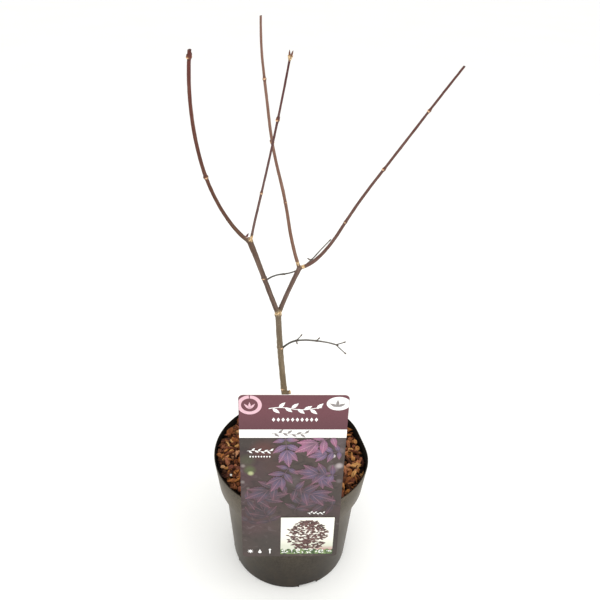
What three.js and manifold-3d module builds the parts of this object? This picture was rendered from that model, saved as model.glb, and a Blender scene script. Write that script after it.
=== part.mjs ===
// Young grafted maple in a round nursery pot
//
// A bare winter sapling: a thin stem forks into two limbs, and each limb into two long
// shoots with pairs of buds at their nodes. Two fine side twigs grow from the stem and
// from the left limb. The pot holds potting mix under a layer of bark chips, and a tall
// picture card hangs from its rim.
//
// Units are millimetres, +Z is up, and the origin is the centre of the pot's underside.
// The card is at the front, towards -Y, and +X is to the right of it.

import * as THREE from 'three';
import { mergeVertices } from 'three/addons/utils/BufferGeometryUtils.js';
import Module from 'manifold-3d';

// Driving dimensions

// Clearance between pieces that touch
const GAP = 0.3;

// The pot: a thin moulded wall with a wider collar at the top
const POT = {
  height: 167,
  rimRadius: 96,
  wall: 1.5,
  lipRound: 1.3,
  collarFootHeight: 126,
  collarFootRadius: 91.2,
  shoulderHeight: 121,
  shoulderRadius: 83.7,
  footHeight: 2.4,
  footRadius: 75.3,
  footRound: 2,
  floor: 2.2,
  segments: 64,
};

// The rim is pressed in a little at the right
const BOW = { depth: 4.5, angle: 15, spread: 17 };

// Drainage channels under the floor, open at the foot, with a hole in each roof
const CHANNEL = {
  count: 4,
  firstAngle: -70,
  width: 23,
  height: 4.2,
  roof: 2.2,
  innerRadius: 46,
  holeRadius: 4.5,
  holeAt: 60,
};

const SOIL_LEVEL = 148;

// The layer of bark: a bed with flakes sunk in it, a little higher at the left
const BARK = {
  bedTop: 155.5,
  flakeLevel: 157,
  flakeCount: 84,
  flakeRadius: [6, 12],
  flakeThickness: [2.4, 4.4],
  flakeTilt: 24,
  rise: 0.03,
  highest: 164.5,
  seed: 19,
};

// Limbs are grown from their headings. lean is the slope to the right of upright and fore
// the slope towards the front, in degrees, at even places along the limb. turn is added to
// the lean at the foot and dies out. thick is the diameter, and nodes are [distance, twist].
const FOOT = new THREE.Vector3(-1.8, 0, SOIL_LEVEL + GAP);
const LIMBS = {
  trunk: {
    length: 219.2,
    lean: [0, -7, -5, -2.5],
    fore: [0, 0],
    thick: [8.4, 7.5, 6.7, 6.2],
    flare: 1.9,
    nodes: [[112, 0], [151, 90], [176, 0]],
    sides: 10,
  },
  left_limb: {
    length: 97.8,
    lean: [-17.5, -17, -18],
    fore: [6, 5.5],
    thick: [5.5, 5.2, 5.1, 5.2, 6.3],
    nodes: [[49.5, 0]],
    sides: 10,
  },
  right_limb: {
    length: 58.3,
    lean: [18.5, 22, 24],
    fore: [-7, -7],
    thick: [4.9, 4.6, 4.6, 5.1],
    nodes: [],
    sides: 10,
  },
  left_outer: {
    length: 211.2,
    turn: -19,
    lean: [-34.5, -8, 10],
    fore: [13, 17, 20],
    thick: [4.2, 3.6, 3.5, 3.4, 3.2, 3.1],
    nodes: [[86, 0], [204, 0]],
    sides: 8,
  },
  left_inner: {
    length: 176.6,
    lean: [14, 10],
    fore: [-1, -5.5],
    thick: [2.7, 2.4, 2.25, 2.1, 2],
    nodes: [[51, 10], [122.5, 0]],
    sides: 8,
  },
  right_inner: {
    length: 251.5,
    lean: [-19.5, -10, -17, -8.5, -8.5, 0],
    fore: [-12.5, -20, -19],
    thick: [3.9, 3.5, 3.4, 3.1, 3, 2.6, 2.3],
    nodes: [[69, 90], [132, 0], [193, 90]],
    sides: 8,
  },
  right_outer: {
    length: 260.9,
    turn: 36,
    lean: [39, 24.5, 29.5, 28, 28],
    fore: [4, 17],
    thick: [4.1, 3.4, 3.1, 2.75, 2.5, 2.15, 1.9],
    nodes: [[76, 90], [143.5, 0], [213, 70]],
    sides: 8,
  },
};
const STEP = 2;
const TURN_REACH = 14;
const RING_SPACING = 10;

// The trunk flares at its foot, and each node swells by a share of the limb's thickness
const FLARE_REACH = 9;
const FLARE_RINGS = [0.25, 0.6, 1.1, 1.8];
const NODE_SWELL = 0.26;
const NODE_REACH = 1.7;
const NODE_RINGS = [-2, -0.9, 0, 0.9, 2];

// Each fork belongs to its parent, which ends in two short legs
const FORK = { leg: 8, swell: 1.14 };

// Buds stand in pairs at the nodes of the shoots. The shape is [width, height] in shares
const BUD_SHAPE = [[0, 0], [0.75, 0.06], [1, 0.35], [0.66, 0.72], [0, 1]];
const BUD = { length: 3.8, radius: 1.05, slope: 18 };
const END_BUD = { length: 5.4, radius: 1.1, slope: 15, cupRadius: 2.2, cupLength: 4.5 };

// The side of the graft has the stub of the stock's cut stem, and the left outer shoot's
// foot a dead bud
const GRAFT_STUB = { at: 110, radius: 2.1, length: 6.5, slope: 62 };
const DEAD_BUD = { at: 5, length: 3.2, radius: 0.9, slope: 90, twist: 0 };

// Fine side twigs: sprigs are [distance, lean, length], and every twig ends in a bud
const TWIGS = {
  low_twigs: {
    at: 175.5,
    length: 67,
    lean: [45.5, 51.5, 78.5, 85.5, 94.5, 108.5],
    fore: [9, 8.5],
    thick: [1.8, 1.2],
    nodes: [[23, 0], [45.5, 0], [60, 0]],
    sides: 6,
    sprigs: [[23, 44, 9], [23, 168, 3.6], [45.5, 38, 4.5], [66.5, 72, 10], [66.5, 134, 14]],
  },
  cross_twigs: {
    at: 49.5,
    length: 84,
    lean: [97.5, 97, 64.5, 36.5, 46],
    fore: [-44, -15, -7.5],
    thick: [1.6, 1.1],
    nodes: [[22, 0], [54.5, 0]],
    sides: 6,
    sprigs: [[54.5, 5, 2.8], [54.5, 98, 2.8]],
  },
};
const SPRIG = { thick: [1, 0.8], sides: 6 };
const TWIG_BUD = { length: 3.4, radius: 0.95 };

// The picture card stands in front of the pot, with a hook at its back over the rim
const CARD = {
  width: 110,
  height: 244,
  across: -2.7,
  bottom: 92.5,
  thickness: 0.6,
  corner: 5,
  turn: 2.6,
};
const HOOK = { width: 22, thickness: 0.8, legBottom: 128, tongueBottom: 150, tongueFoot: 91.4 };

// Colours, roughness and metalness
const FINISH = {
  pot: { color: 0x4a4641, roughness: 0.45, metalness: 0 },
  mix: { color: 0x2e2119, roughness: 1, metalness: 0 },
  bark: { color: 0x9a5c34, roughness: 0.9, metalness: 0 },
  stem: { color: 0x83755a, roughness: 0.8, metalness: 0 },
  limb: { color: 0x6f5f54, roughness: 0.8, metalness: 0 },
  shoot: { color: 0x7d5547, roughness: 0.6, metalness: 0 },
  twig: { color: 0x5d5e5b, roughness: 0.8, metalness: 0 },
  card: { color: 0x6b4a4d, roughness: 0.4, metalness: 0 },
  hook: { color: 0xe8e6e1, roughness: 0.5, metalness: 0 },
};

// Solids

const wasm = await Module();
wasm.setup();

// Makes a solid of a closed geometry: shared vertices are merged and flat slivers dropped.
function solid(geometry) {
  const bare = geometry.index ? geometry.clone() : geometry;
  bare.deleteAttribute('normal');
  bare.deleteAttribute('uv');
  const merged = mergeVertices(bare, 1e-4);
  const corners = merged.index.array;
  const faces = [];
  for (let i = 0; i < corners.length; i += 3) {
    const [a, b, c] = [corners[i], corners[i + 1], corners[i + 2]];
    if (a !== b && b !== c && c !== a) faces.push(a, b, c);
  }
  return new wasm.Manifold(new wasm.Mesh({
    numProp: 3,
    vertProperties: new Float32Array(merged.attributes.position.array),
    triVerts: new Uint32Array(faces),
  }));
}

function geometryOf(body) {
  const mesh = body.getMesh();
  const geometry = new THREE.BufferGeometry();
  geometry.setAttribute('position', new THREE.BufferAttribute(new Float32Array(mesh.vertProperties), 3));
  geometry.setIndex(new THREE.BufferAttribute(new Uint32Array(mesh.triVerts), 1));
  geometry.computeVertexNormals();
  return geometry;
}

const joined = (bodies) => bodies.reduce((whole, body) => whole.add(body));

// Drops the loose scraps that a cut leaves.
function largest(body) {
  return body.decompose().reduce((best, next) => (next.volume() > best.volume() ? next : best));
}

const radians = THREE.MathUtils.degToRad;

// A turned solid about the pot's axis, from [radius, height] points that start and end on it.
function turned(profile, segments = POT.segments) {
  const points = profile.map(([radius, height]) => new THREE.Vector2(radius, height));
  return solid(new THREE.LatheGeometry(points, segments).rotateX(Math.PI / 2));
}

// Presses in the rim at one side, more towards the top.
function bowed(body) {
  return body.warp((vertex) => {
    const away = radians(BOW.angle) - Math.atan2(vertex[1], vertex[0]);
    const side = Math.exp(-((away / radians(BOW.spread)) ** 2));
    const scale = 1 - (BOW.depth / POT.rimRadius) * side * (vertex[2] / POT.height) ** 2;
    vertex[0] *= scale;
    vertex[1] *= scale;
  });
}

// Pot

// The outside from the shoulder up to the lip, moved inwards by a distance.
function collarOutline(inset) {
  return [
    [POT.shoulderRadius - inset, POT.shoulderHeight],
    [POT.shoulderRadius + 2 - inset, POT.shoulderHeight + 2],
    [POT.collarFootRadius - 1.8 - inset, POT.collarFootHeight - 2],
    [POT.collarFootRadius - inset, POT.collarFootHeight],
  ];
}

function makePot() {
  const lip = POT.lipRound / 2;
  const outside = turned([
    [0, 0],
    [POT.footRadius - POT.footRound, 0],
    [POT.footRadius, POT.footHeight],
    ...collarOutline(0),
    [POT.rimRadius, POT.height - lip],
    [POT.rimRadius - lip, POT.height],
    [0, POT.height],
  ]);
  const inside = turned([
    [0, POT.floor],
    [POT.footRadius - POT.wall - 1, POT.floor],
    ...collarOutline(POT.wall),
    [POT.rimRadius - POT.wall, POT.height - lip],
    [POT.rimRadius - POT.wall + lip / 2, POT.height + 1],
    [0, POT.height + 1],
  ]);
  const top = CHANNEL.height + CHANNEL.roof;
  const blocks = [];
  const hollows = [];
  for (let i = 0; i < CHANNEL.count; i += 1) {
    const angle = radians(CHANNEL.firstAngle + (i * 360) / CHANNEL.count);
    const length = POT.footRadius - CHANNEL.innerRadius;
    const block = new THREE.BoxGeometry(length, CHANNEL.width + 2 * POT.wall, top);
    block.translate((POT.footRadius + CHANNEL.innerRadius) / 2 - POT.wall, 0, top / 2).rotateZ(angle);
    blocks.push(solid(block));
    const reach = 2 * POT.footRadius;
    const hollow = new THREE.BoxGeometry(reach, CHANNEL.width, 2 * CHANNEL.height);
    hollow.translate(CHANNEL.innerRadius + reach / 2, 0, 0).rotateZ(angle);
    hollows.push(solid(hollow));
    const hole = new THREE.CylinderGeometry(CHANNEL.holeRadius, CHANNEL.holeRadius, top, 16);
    hole.rotateX(Math.PI / 2).translate(CHANNEL.holeAt, 0, top).rotateZ(angle);
    hollows.push(solid(hole));
  }
  const shell = outside.subtract(inside).add(joined(blocks).intersect(outside));
  return bowed(shell.subtract(joined(hollows)));
}

// Potting mix and bark

// The space inside the wall between two heights, with the usual clearance.
function fill(bottom, top, segments) {
  const inset = POT.wall + GAP;
  const [shoulder, ...collar] = collarOutline(inset);
  const collarSlope = (POT.rimRadius - POT.collarFootRadius) / (POT.height - POT.collarFootHeight);
  const collarAt = (height) => POT.collarFootRadius - inset + (height - POT.collarFootHeight) * collarSlope;
  const bodySlope = (POT.shoulderRadius - POT.footRadius) / (POT.shoulderHeight - POT.footHeight);
  const low = [POT.footRadius - inset - 1 + (bottom - POT.footHeight) * bodySlope, bottom];
  const sides = bottom < POT.shoulderHeight ? [low, shoulder, ...collar] : [[collarAt(bottom), bottom]];
  return turned([[0, bottom], ...sides, [collarAt(top), top], [0, top]], segments);
}

// Repeatable random numbers between 0 and 1
function randomFrom(seed) {
  let state = seed;
  return () => {
    state = (state * 1664525 + 1013904223) % 4294967296;
    return state / 4294967296;
  };
}

// One flake of bark: an uneven five-sided chip, lying on the origin.
function flake(random) {
  const between = ([low, high]) => low + (high - low) * random();
  const outline = [];
  const size = between(BARK.flakeRadius);
  const narrow = 0.45 + 0.4 * random();
  for (let i = 0; i < 5; i += 1) {
    const angle = ((i + 0.5 * random()) / 5) * 2 * Math.PI;
    const radius = size * (0.75 + 0.25 * random());
    outline.push(new THREE.Vector2(radius * Math.cos(angle), radius * narrow * Math.sin(angle)));
  }
  const depth = between(BARK.flakeThickness);
  const chip = new THREE.ExtrudeGeometry(new THREE.Shape(outline), { depth, bevelEnabled: false });
  return chip.translate(0, 0, -depth / 2);
}

function makeBark(keptClear) {
  const random = randomFrom(BARK.seed);
  const bottom = SOIL_LEVEL + GAP;
  const space = fill(bottom, BARK.highest);
  const bed = fill(bottom, BARK.bedTop).warp((vertex) => {
    if (vertex[2] > bottom + GAP) vertex[2] -= BARK.rise * vertex[0];
  });
  const pieces = [bed];
  const goldenAngle = Math.PI * (3 - Math.sqrt(5));
  for (let i = 0; i < BARK.flakeCount; i += 1) {
    const radius = POT.rimRadius * Math.sqrt((i + 0.5) / BARK.flakeCount);
    const angle = i * goldenAngle;
    const [x, y] = [radius * Math.cos(angle), radius * Math.sin(angle)];
    const tilt = () => radians(BARK.flakeTilt) * (2 * random() - 1);
    const chip = flake(random).rotateX(tilt()).rotateY(tilt()).rotateZ(2 * Math.PI * random());
    pieces.push(solid(chip.translate(x, y, BARK.flakeLevel - BARK.rise * x + 1.6 * (random() - 0.5))));
  }
  return largest(bowed(joined(pieces).intersect(space)).subtract(joined(keptClear)));
}

// Limbs

// Reads values spread evenly along a limb, at a fraction of its length.
function along(values, fraction) {
  const place = THREE.MathUtils.clamp(fraction, 0, 1) * (values.length - 1);
  const left = Math.min(Math.floor(place), values.length - 2);
  return THREE.MathUtils.lerp(values[left], values[left + 1], place - left);
}

// Grows a limb's centre line from its foot by its headings.
function grow(foot, limb) {
  const count = Math.ceil(limb.length / STEP);
  const points = [foot.clone()];
  for (let i = 0; i < count; i += 1) {
    const fraction = (i + 0.5) / count;
    const turn = (limb.turn ?? 0) * Math.exp((-fraction * limb.length) / TURN_REACH);
    const lean = radians(along(limb.lean, fraction) + turn);
    const fore = radians(along(limb.fore, fraction));
    const heading = new THREE.Vector3(Math.sin(lean) * Math.cos(fore), -Math.sin(fore), 0);
    heading.z = Math.cos(lean) * Math.cos(fore);
    points.push(points[i].clone().addScaledVector(heading, limb.length / count));
  }
  return { ...limb, points };
}

// The point, heading and cross directions at a distance along a limb.
function placeOn(limb, distance) {
  const place = (distance / limb.length) * (limb.points.length - 1);
  const left = THREE.MathUtils.clamp(Math.floor(place), 0, limb.points.length - 2);
  const [before, after] = [limb.points[left], limb.points[left + 1]];
  const point = before.clone().lerp(after, place - left);
  const heading = after.clone().sub(before).normalize();
  const side = new THREE.Vector3(0, 1, 0).cross(heading).normalize();
  return { point, heading, side, back: heading.clone().cross(side) };
}

// Half the thickness at a distance, with the root flare and the swelling at each node.
function radiusAt(limb, distance) {
  let radius = along(limb.thick, distance / limb.length) / 2;
  radius += (limb.flare ?? 0) * Math.exp(-distance / FLARE_REACH);
  for (const [node] of limb.nodes) {
    radius *= 1 + NODE_SWELL * Math.exp(-(((distance - node) / NODE_REACH) ** 2));
  }
  return radius;
}

// Even places along a stretch of a limb, closer at its nodes and at a flared foot.
function ringPlaces(limb, from, to) {
  const places = [from, to];
  for (const [node] of limb.nodes) {
    places.push(...NODE_RINGS.map((share) => node + share * NODE_REACH));
  }
  if (limb.flare) places.push(...FLARE_RINGS.map((share) => share * FLARE_REACH));
  const count = Math.ceil((to - from) / RING_SPACING);
  for (let i = 1; i < count; i += 1) {
    const place = from + ((to - from) * i) / count;
    if (places.every((other) => Math.abs(other - place) > RING_SPACING / 3)) places.push(place);
  }
  return places.filter((place) => place >= from && place <= to).sort((a, b) => a - b);
}

// A stretch of a limb as a closed tapering tube with flat ends.
function stretch(limb, from, to, extra = 0) {
  const places = ringPlaces(limb, from, to);
  const vertices = [];
  for (const place of places) {
    const { point, side, back } = placeOn(limb, place);
    const radius = radiusAt(limb, place) + extra;
    for (let i = 0; i < limb.sides; i += 1) {
      const angle = (i / limb.sides) * 2 * Math.PI;
      const vertex = point.clone().addScaledVector(side, radius * Math.cos(angle));
      vertices.push(vertex.addScaledVector(back, radius * Math.sin(angle)));
    }
  }
  const lowCentre = vertices.push(placeOn(limb, from).point) - 1;
  const highCentre = vertices.push(placeOn(limb, to).point) - 1;
  const faces = [];
  const corner = (ring, i) => ring * limb.sides + (i % limb.sides);
  const last = places.length - 1;
  for (let i = 0; i < limb.sides; i += 1) {
    for (let ring = 0; ring < last; ring += 1) {
      const [a, b, c, d] = [corner(ring, i), corner(ring, i + 1), corner(ring + 1, i + 1), corner(ring + 1, i)];
      faces.push(a, b, c, a, c, d);
    }
    faces.push(lowCentre, corner(0, i + 1), corner(0, i), highCentre, corner(last, i), corner(last, i + 1));
  }
  const geometry = new THREE.BufferGeometry().setFromPoints(vertices);
  geometry.setIndex(faces);
  return solid(geometry);
}

// The direction that leaves a heading by a slope towards an outward direction.
function sloped(heading, outward, slope) {
  const direction = heading.clone().multiplyScalar(Math.cos(radians(slope)));
  return direction.addScaledVector(outward, Math.sin(radians(slope)));
}

// Turns a geometry that stands along Y to a direction, and moves it to a point.
function aimed(geometry, direction, point) {
  const upright = new THREE.Vector3(0, 1, 0);
  geometry.applyQuaternion(new THREE.Quaternion().setFromUnitVectors(upright, direction));
  return solid(geometry.translate(point.x, point.y, point.z));
}

// A pointed bud on a limb: slope is measured from the limb's heading, twist round it.
function bud(limb, distance, twist, { length, radius, slope }, sunk = 0.6) {
  const { point, heading, side, back } = placeOn(limb, distance);
  const outward = sloped(side, back, twist);
  const profile = BUD_SHAPE.map(([wide, high]) => new THREE.Vector2(wide * radius, high * length));
  const seat = point.addScaledVector(outward, radiusAt(limb, distance) * sunk);
  return aimed(new THREE.LatheGeometry(profile, 6), sloped(heading, outward, slope), seat);
}

// A stretch of a limb with a pair of buds at each of its nodes.
function budded(limb, from, to) {
  const pieces = [stretch(limb, from, to)];
  for (const [node, twist] of limb.nodes) {
    pieces.push(bud(limb, node, twist, BUD), bud(limb, node, twist + 180, BUD));
  }
  return pieces;
}

// A fork: the ball where a limb divides, and the short leg of each child.
function fork(limb, children) {
  const { point } = placeOn(limb, limb.length);
  const ball = new THREE.IcosahedronGeometry(radiusAt(limb, limb.length) * FORK.swell, 2);
  const legs = children.map((child) => stretch(child, 0, FORK.leg));
  return [solid(ball.translate(point.x, point.y, point.z)), ...legs];
}

const endOf = (limb) => placeOn(limb, limb.length).point;

const trunk = grow(FOOT, LIMBS.trunk);
const leftLimb = grow(endOf(trunk), LIMBS.left_limb);
const rightLimb = grow(endOf(trunk), LIMBS.right_limb);
const leftOuter = grow(endOf(leftLimb), LIMBS.left_outer);
const leftInner = grow(endOf(leftLimb), LIMBS.left_inner);
const rightInner = grow(endOf(rightLimb), LIMBS.right_inner);
const rightOuter = grow(endOf(rightLimb), LIMBS.right_outer);

const CHILD_START = FORK.leg + GAP;

function makeTrunk() {
  const { at, radius, length, slope } = GRAFT_STUB;
  const { point, heading, side } = placeOn(trunk, at);
  const peg = new THREE.CylinderGeometry(radius, radius * 1.2, length, 8).translate(0, length / 2, 0);
  const stub = aimed(peg, sloped(heading, side, slope), point);
  return joined([stretch(trunk, 0, trunk.length), stub, ...fork(trunk, [leftLimb, rightLimb])]);
}

function makeLeftLimb() {
  const deadBud = bud(leftOuter, DEAD_BUD.at, DEAD_BUD.twist, DEAD_BUD);
  const limb = stretch(leftLimb, CHILD_START, leftLimb.length);
  return joined([limb, deadBud, ...fork(leftLimb, [leftOuter, leftInner])]);
}

function makeRightLimb() {
  const limb = stretch(rightLimb, CHILD_START, rightLimb.length);
  return joined([limb, ...fork(rightLimb, [rightInner, rightOuter])]);
}

// The left inner shoot is whole to its tip: a swollen cup that holds two buds.
function makeLeftInner() {
  const { length } = leftInner;
  const { cupRadius, cupLength } = END_BUD;
  const { point, heading } = placeOn(leftInner, length - cupLength);
  const cone = new THREE.CylinderGeometry(cupRadius, leftInner.thick.at(-1) / 2, cupLength, 8);
  const cup = aimed(cone.translate(0, cupLength / 2, 0), heading, point);
  const buds = [20, 200].map((twist) => bud(leftInner, length - 1, twist, END_BUD, 0.3));
  const shoot = budded(leftInner, CHILD_START, length);
  return joined([...shoot, cup, ...buds]);
}

// Twigs

// A side twig: one stem with its sprigs, each ended by a bud, cut clear of its parent.
function makeTwig(twig, parent) {
  const stem = grow(placeOn(parent, twig.at).point, twig);
  const pieces = [stretch(stem, 0, stem.length)];
  const tips = twig.sprigs.map(([distance, lean, length]) => {
    const headings = { length, lean: [lean, lean - 4], fore: twig.fore, nodes: [] };
    const sprig = grow(placeOn(stem, distance).point, { ...SPRIG, ...headings });
    pieces.push(stretch(sprig, 0, length));
    return sprig;
  });
  for (const tip of [stem, ...tips]) {
    pieces.push(bud(tip, tip.length - 0.8, 0, { ...TWIG_BUD, slope: 0 }, 0));
  }
  const clearance = stretch(parent, twig.at - RING_SPACING, twig.at + RING_SPACING, GAP);
  return joined(pieces).subtract(clearance);
}

// Picture card and hook

function makeCard() {
  const { width, height, corner, thickness } = CARD;
  const [right, top] = [width / 2 - corner, height - corner];
  const outline = new THREE.Shape();
  outline.absarc(right, corner, corner, -Math.PI / 2, 0);
  outline.absarc(right, top, corner, 0, Math.PI / 2);
  outline.absarc(-right, top, corner, Math.PI / 2, Math.PI);
  outline.absarc(-right, corner, corner, Math.PI, 1.5 * Math.PI);
  const extrusion = { depth: thickness, bevelEnabled: false, curveSegments: 6 };
  const geometry = new THREE.ExtrudeGeometry(outline, extrusion);
  return solid(geometry.rotateX(Math.PI / 2));
}

// The hook seen from the side, as [distance from the pot's axis, height]. A margin grows it.
function hookSolid(margin = 0) {
  const legInner = POT.rimRadius + GAP;
  const legOuter = legInner + HOOK.thickness;
  const bridge = POT.height + GAP;
  const tongueOuter = POT.rimRadius - POT.wall - 1;
  const points = [
    [legOuter + margin, HOOK.legBottom - margin],
    [legOuter + margin, bridge + HOOK.thickness + margin],
    [tongueOuter - HOOK.thickness - margin, bridge + HOOK.thickness + margin],
    [HOOK.tongueFoot - HOOK.thickness - margin, HOOK.tongueBottom - margin],
    [HOOK.tongueFoot + margin, HOOK.tongueBottom - margin],
    [tongueOuter + margin, bridge - margin],
    [legInner - margin, bridge - margin],
    [legInner - margin, HOOK.legBottom - margin],
  ];
  const outline = new THREE.Shape(points.map(([distance, height]) => new THREE.Vector2(distance, height)));
  const width = HOOK.width + 2 * margin;
  const geometry = new THREE.ExtrudeGeometry(outline, { depth: width, bevelEnabled: false });
  const outward = new THREE.Vector3(0, -1, 0);
  const up = new THREE.Vector3(0, 0, 1);
  const across = new THREE.Vector3(-1, 0, 0);
  geometry.translate(0, 0, -width / 2).applyMatrix4(new THREE.Matrix4().makeBasis(outward, up, across));
  return solid(geometry);
}

// The sapling

function piece(name, body, finish) {
  const mesh = new THREE.Mesh(geometryOf(body), new THREE.MeshStandardMaterial(finish));
  mesh.name = name;
  return mesh;
}

const container = new THREE.Group();
const trunkClearance = stretch(trunk, 0, 2 * RING_SPACING, GAP);
const hookClearance = hookSolid(GAP).rotate([0, 0, CARD.turn]);
const mix = bowed(fill(CHANNEL.height + CHANNEL.roof + GAP, SOIL_LEVEL, POT.segments / 2));
container.add(
  piece('pot', makePot(), FINISH.pot),
  piece('potting_mix', mix, FINISH.mix),
  piece('bark_mulch', makeBark([trunkClearance, hookClearance]), FINISH.bark),
);

const sapling = new THREE.Group();
sapling.add(
  piece('trunk', makeTrunk(), FINISH.stem),
  piece('left_limb', makeLeftLimb(), FINISH.limb),
  piece('right_limb', makeRightLimb(), FINISH.limb),
  piece('left_outer_shoot', joined(budded(leftOuter, CHILD_START, leftOuter.length)), FINISH.shoot),
  piece('left_inner_shoot', makeLeftInner(), FINISH.shoot),
  piece('right_inner_shoot', joined(budded(rightInner, CHILD_START, rightInner.length)), FINISH.shoot),
  piece('right_outer_shoot', joined(budded(rightOuter, CHILD_START, rightOuter.length)), FINISH.shoot),
  piece('low_twigs', makeTwig(TWIGS.low_twigs, trunk), FINISH.twig),
  piece('cross_twigs', makeTwig(TWIGS.cross_twigs, leftLimb), FINISH.twig),
);

// The card and its hook turn together a little about the pot's axis
const label = new THREE.Group();
label.rotation.z = radians(CARD.turn);
const card = piece('label_card', makeCard(), FINISH.card);
card.position.set(CARD.across, -(POT.rimRadius + HOOK.thickness + 2 * GAP), CARD.bottom);
label.add(card, piece('label_hook', hookSolid(), FINISH.hook));

const plant = new THREE.Group();
plant.add(container, sapling, label);

export default plant;
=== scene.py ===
# Young grafted maple, bare in winter, in a round nursery pot. The script builds it in the
# order in which the real one is put together: pot, potting mix, bark mulch, stem, limbs,
# shoots, twigs, and the picture card that hangs on the rim. Sizes are in millimetres.

import math
import random

import bpy
import numpy as np
from mathutils import Matrix, Vector, noise
from mathutils.kdtree import KDTree


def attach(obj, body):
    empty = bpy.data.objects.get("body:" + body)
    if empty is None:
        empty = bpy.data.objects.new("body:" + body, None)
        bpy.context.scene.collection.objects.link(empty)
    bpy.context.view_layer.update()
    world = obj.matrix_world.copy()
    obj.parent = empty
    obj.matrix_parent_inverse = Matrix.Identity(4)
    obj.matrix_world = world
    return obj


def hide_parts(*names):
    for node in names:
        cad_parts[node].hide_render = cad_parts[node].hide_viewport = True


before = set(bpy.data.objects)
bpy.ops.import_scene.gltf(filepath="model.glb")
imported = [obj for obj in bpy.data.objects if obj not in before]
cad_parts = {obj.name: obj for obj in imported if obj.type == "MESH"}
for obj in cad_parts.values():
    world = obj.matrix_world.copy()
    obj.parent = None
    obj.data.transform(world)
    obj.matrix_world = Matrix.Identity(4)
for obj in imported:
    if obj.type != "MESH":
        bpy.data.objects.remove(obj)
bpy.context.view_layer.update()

MM = 0.001

# Nursery pot
# Thin black plastic, injection moulded, with a wide collar under the rim and four drainage
# channels under the foot. Its outline is spun round, and cavity and channels are cut out.

POT_HEIGHT = 167
RIM_RADIUS = 96
COLLAR_FOOT_RADIUS = 91.2
COLLAR_FOOT_HEIGHT = 126
SHOULDER_RADIUS = 83.7
SHOULDER_HEIGHT = 121
FOOT_RADIUS = 75.3
FOOT_ROUND = 2
POT_WALL = 1.5
POT_FLOOR = 2.2
POT_STEPS = 128
CHANNELS = 4
CHANNEL_FIRST_ANGLE = -70
CHANNEL_WIDTH = 23
CHANNEL_HEIGHT = 4.2
CHANNEL_ROOF = 2.2
CHANNEL_INNER_RADIUS = 46
DRAIN_RADIUS = 4.5
DRAIN_SIDES = 24
DRAIN_PLACE = 60
PRESS_DEPTH = 4.5
PRESS_ANGLE = 15
PRESS_SPREAD = 17
SHOULDER_STEPS = 9
WALL_RINGS = (8, 12, 40, 80)
WALL_SPREAD = 0.2
FLOOR_EDGE = 1.2
FLOOR_EDGE_RISE = 1.6
DOUBLED = 0.01


def collar_outline(inset):
    """The outside from the shoulder up to the foot of the collar, in a soft S."""
    points = []
    for i in range(SHOULDER_STEPS + 1):
        share = i / SHOULDER_STEPS
        swing = (1 - math.cos(math.pi * share)) / 2
        radius = SHOULDER_RADIUS + (COLLAR_FOOT_RADIUS - SHOULDER_RADIUS) * swing
        height = SHOULDER_HEIGHT + (COLLAR_FOOT_HEIGHT - SHOULDER_HEIGHT) * share
        points.append((radius - inset, height))
    return points


def body_wall(inset):
    """The places on the body's straight taper where it is crossed by a ring of edges."""
    low = (FOOT_RADIUS, FOOT_ROUND)
    high = (SHOULDER_RADIUS, SHOULDER_HEIGHT)
    points = []
    for height in WALL_RINGS:
        share = (height - low[1]) / (high[1] - low[1])
        points.append((low[0] + (high[0] - low[0]) * share - inset, height))
    return points


def rounded(centre_radius, centre_height, radius, first, last, steps=4):
    """Points on a small arc of the outline, from one angle to another."""
    points = []
    for i in range(steps + 1):
        angle = math.radians(first + (last - first) * i / steps)
        place = (centre_radius + radius * math.cos(angle), centre_height + radius * math.sin(angle))
        points.append(place)
    return points


def selected(pieces):
    """Selects pieces and nothing else, with the first one active."""
    bpy.ops.object.select_all(action="DESELECT")
    for piece in pieces:
        piece.select_set(True)
    bpy.context.view_layer.objects.active = pieces[0]


def fix_place(piece):
    """Puts the place and turn of a new piece into its mesh."""
    selected([piece])
    bpy.ops.object.transform_apply(location=True, rotation=True, scale=True)


def smoothed(piece, angle):
    """Puts the place of a piece into its mesh, and smooths all but its edges above an angle."""
    fix_place(piece)
    bpy.ops.object.shade_smooth_by_angle(angle=math.radians(angle))


def face_outward():
    """Turns the faces of the active piece outward."""
    bpy.ops.object.mode_set(mode="EDIT")
    bpy.ops.mesh.select_all(action="SELECT")
    bpy.ops.mesh.normals_make_consistent(inside=False)
    bpy.ops.object.mode_set(mode="OBJECT")


def strung(name, points):
    """Draws a line: a point is extruded from each place to the next, and left in edit mode."""
    bpy.ops.object.select_all(action="DESELECT")
    bpy.ops.mesh.primitive_plane_add(size=MM, location=[value * MM for value in points[0]])
    piece = bpy.context.object
    piece.name = name
    bpy.ops.object.mode_set(mode="EDIT")
    bpy.ops.mesh.select_mode(type="VERT")
    bpy.ops.mesh.select_all(action="SELECT")
    bpy.ops.mesh.merge(type="CENTER")
    for before, after in zip(points, points[1:]):
        step = [(end - start) * MM for start, end in zip(before, after)]
        bpy.ops.mesh.extrude_region_move(TRANSFORM_OT_translate={"value": step})
    bpy.ops.mesh.select_all(action="SELECT")
    return piece


def spun(name, outline, steps, sweep=360):
    """Spins an outline of (radius, height) round the axis."""
    piece = strung(name, [(radius, 0, height) for radius, height in outline])
    bpy.ops.mesh.spin(steps=steps, angle=math.radians(sweep), center=(0, 0, 0), axis=(0, 0, 1))
    bpy.ops.mesh.select_all(action="SELECT")
    bpy.ops.mesh.remove_doubles(threshold=DOUBLED * MM)
    face_outward()
    fix_place(piece)
    return piece


def joined(name, pieces):
    """Joins pieces into one object under a name."""
    selected(pieces)
    if len(pieces) > 1:
        bpy.ops.object.join()
    whole = bpy.context.view_layer.objects.active
    whole.name = name
    fix_place(whole)
    return whole


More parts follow.
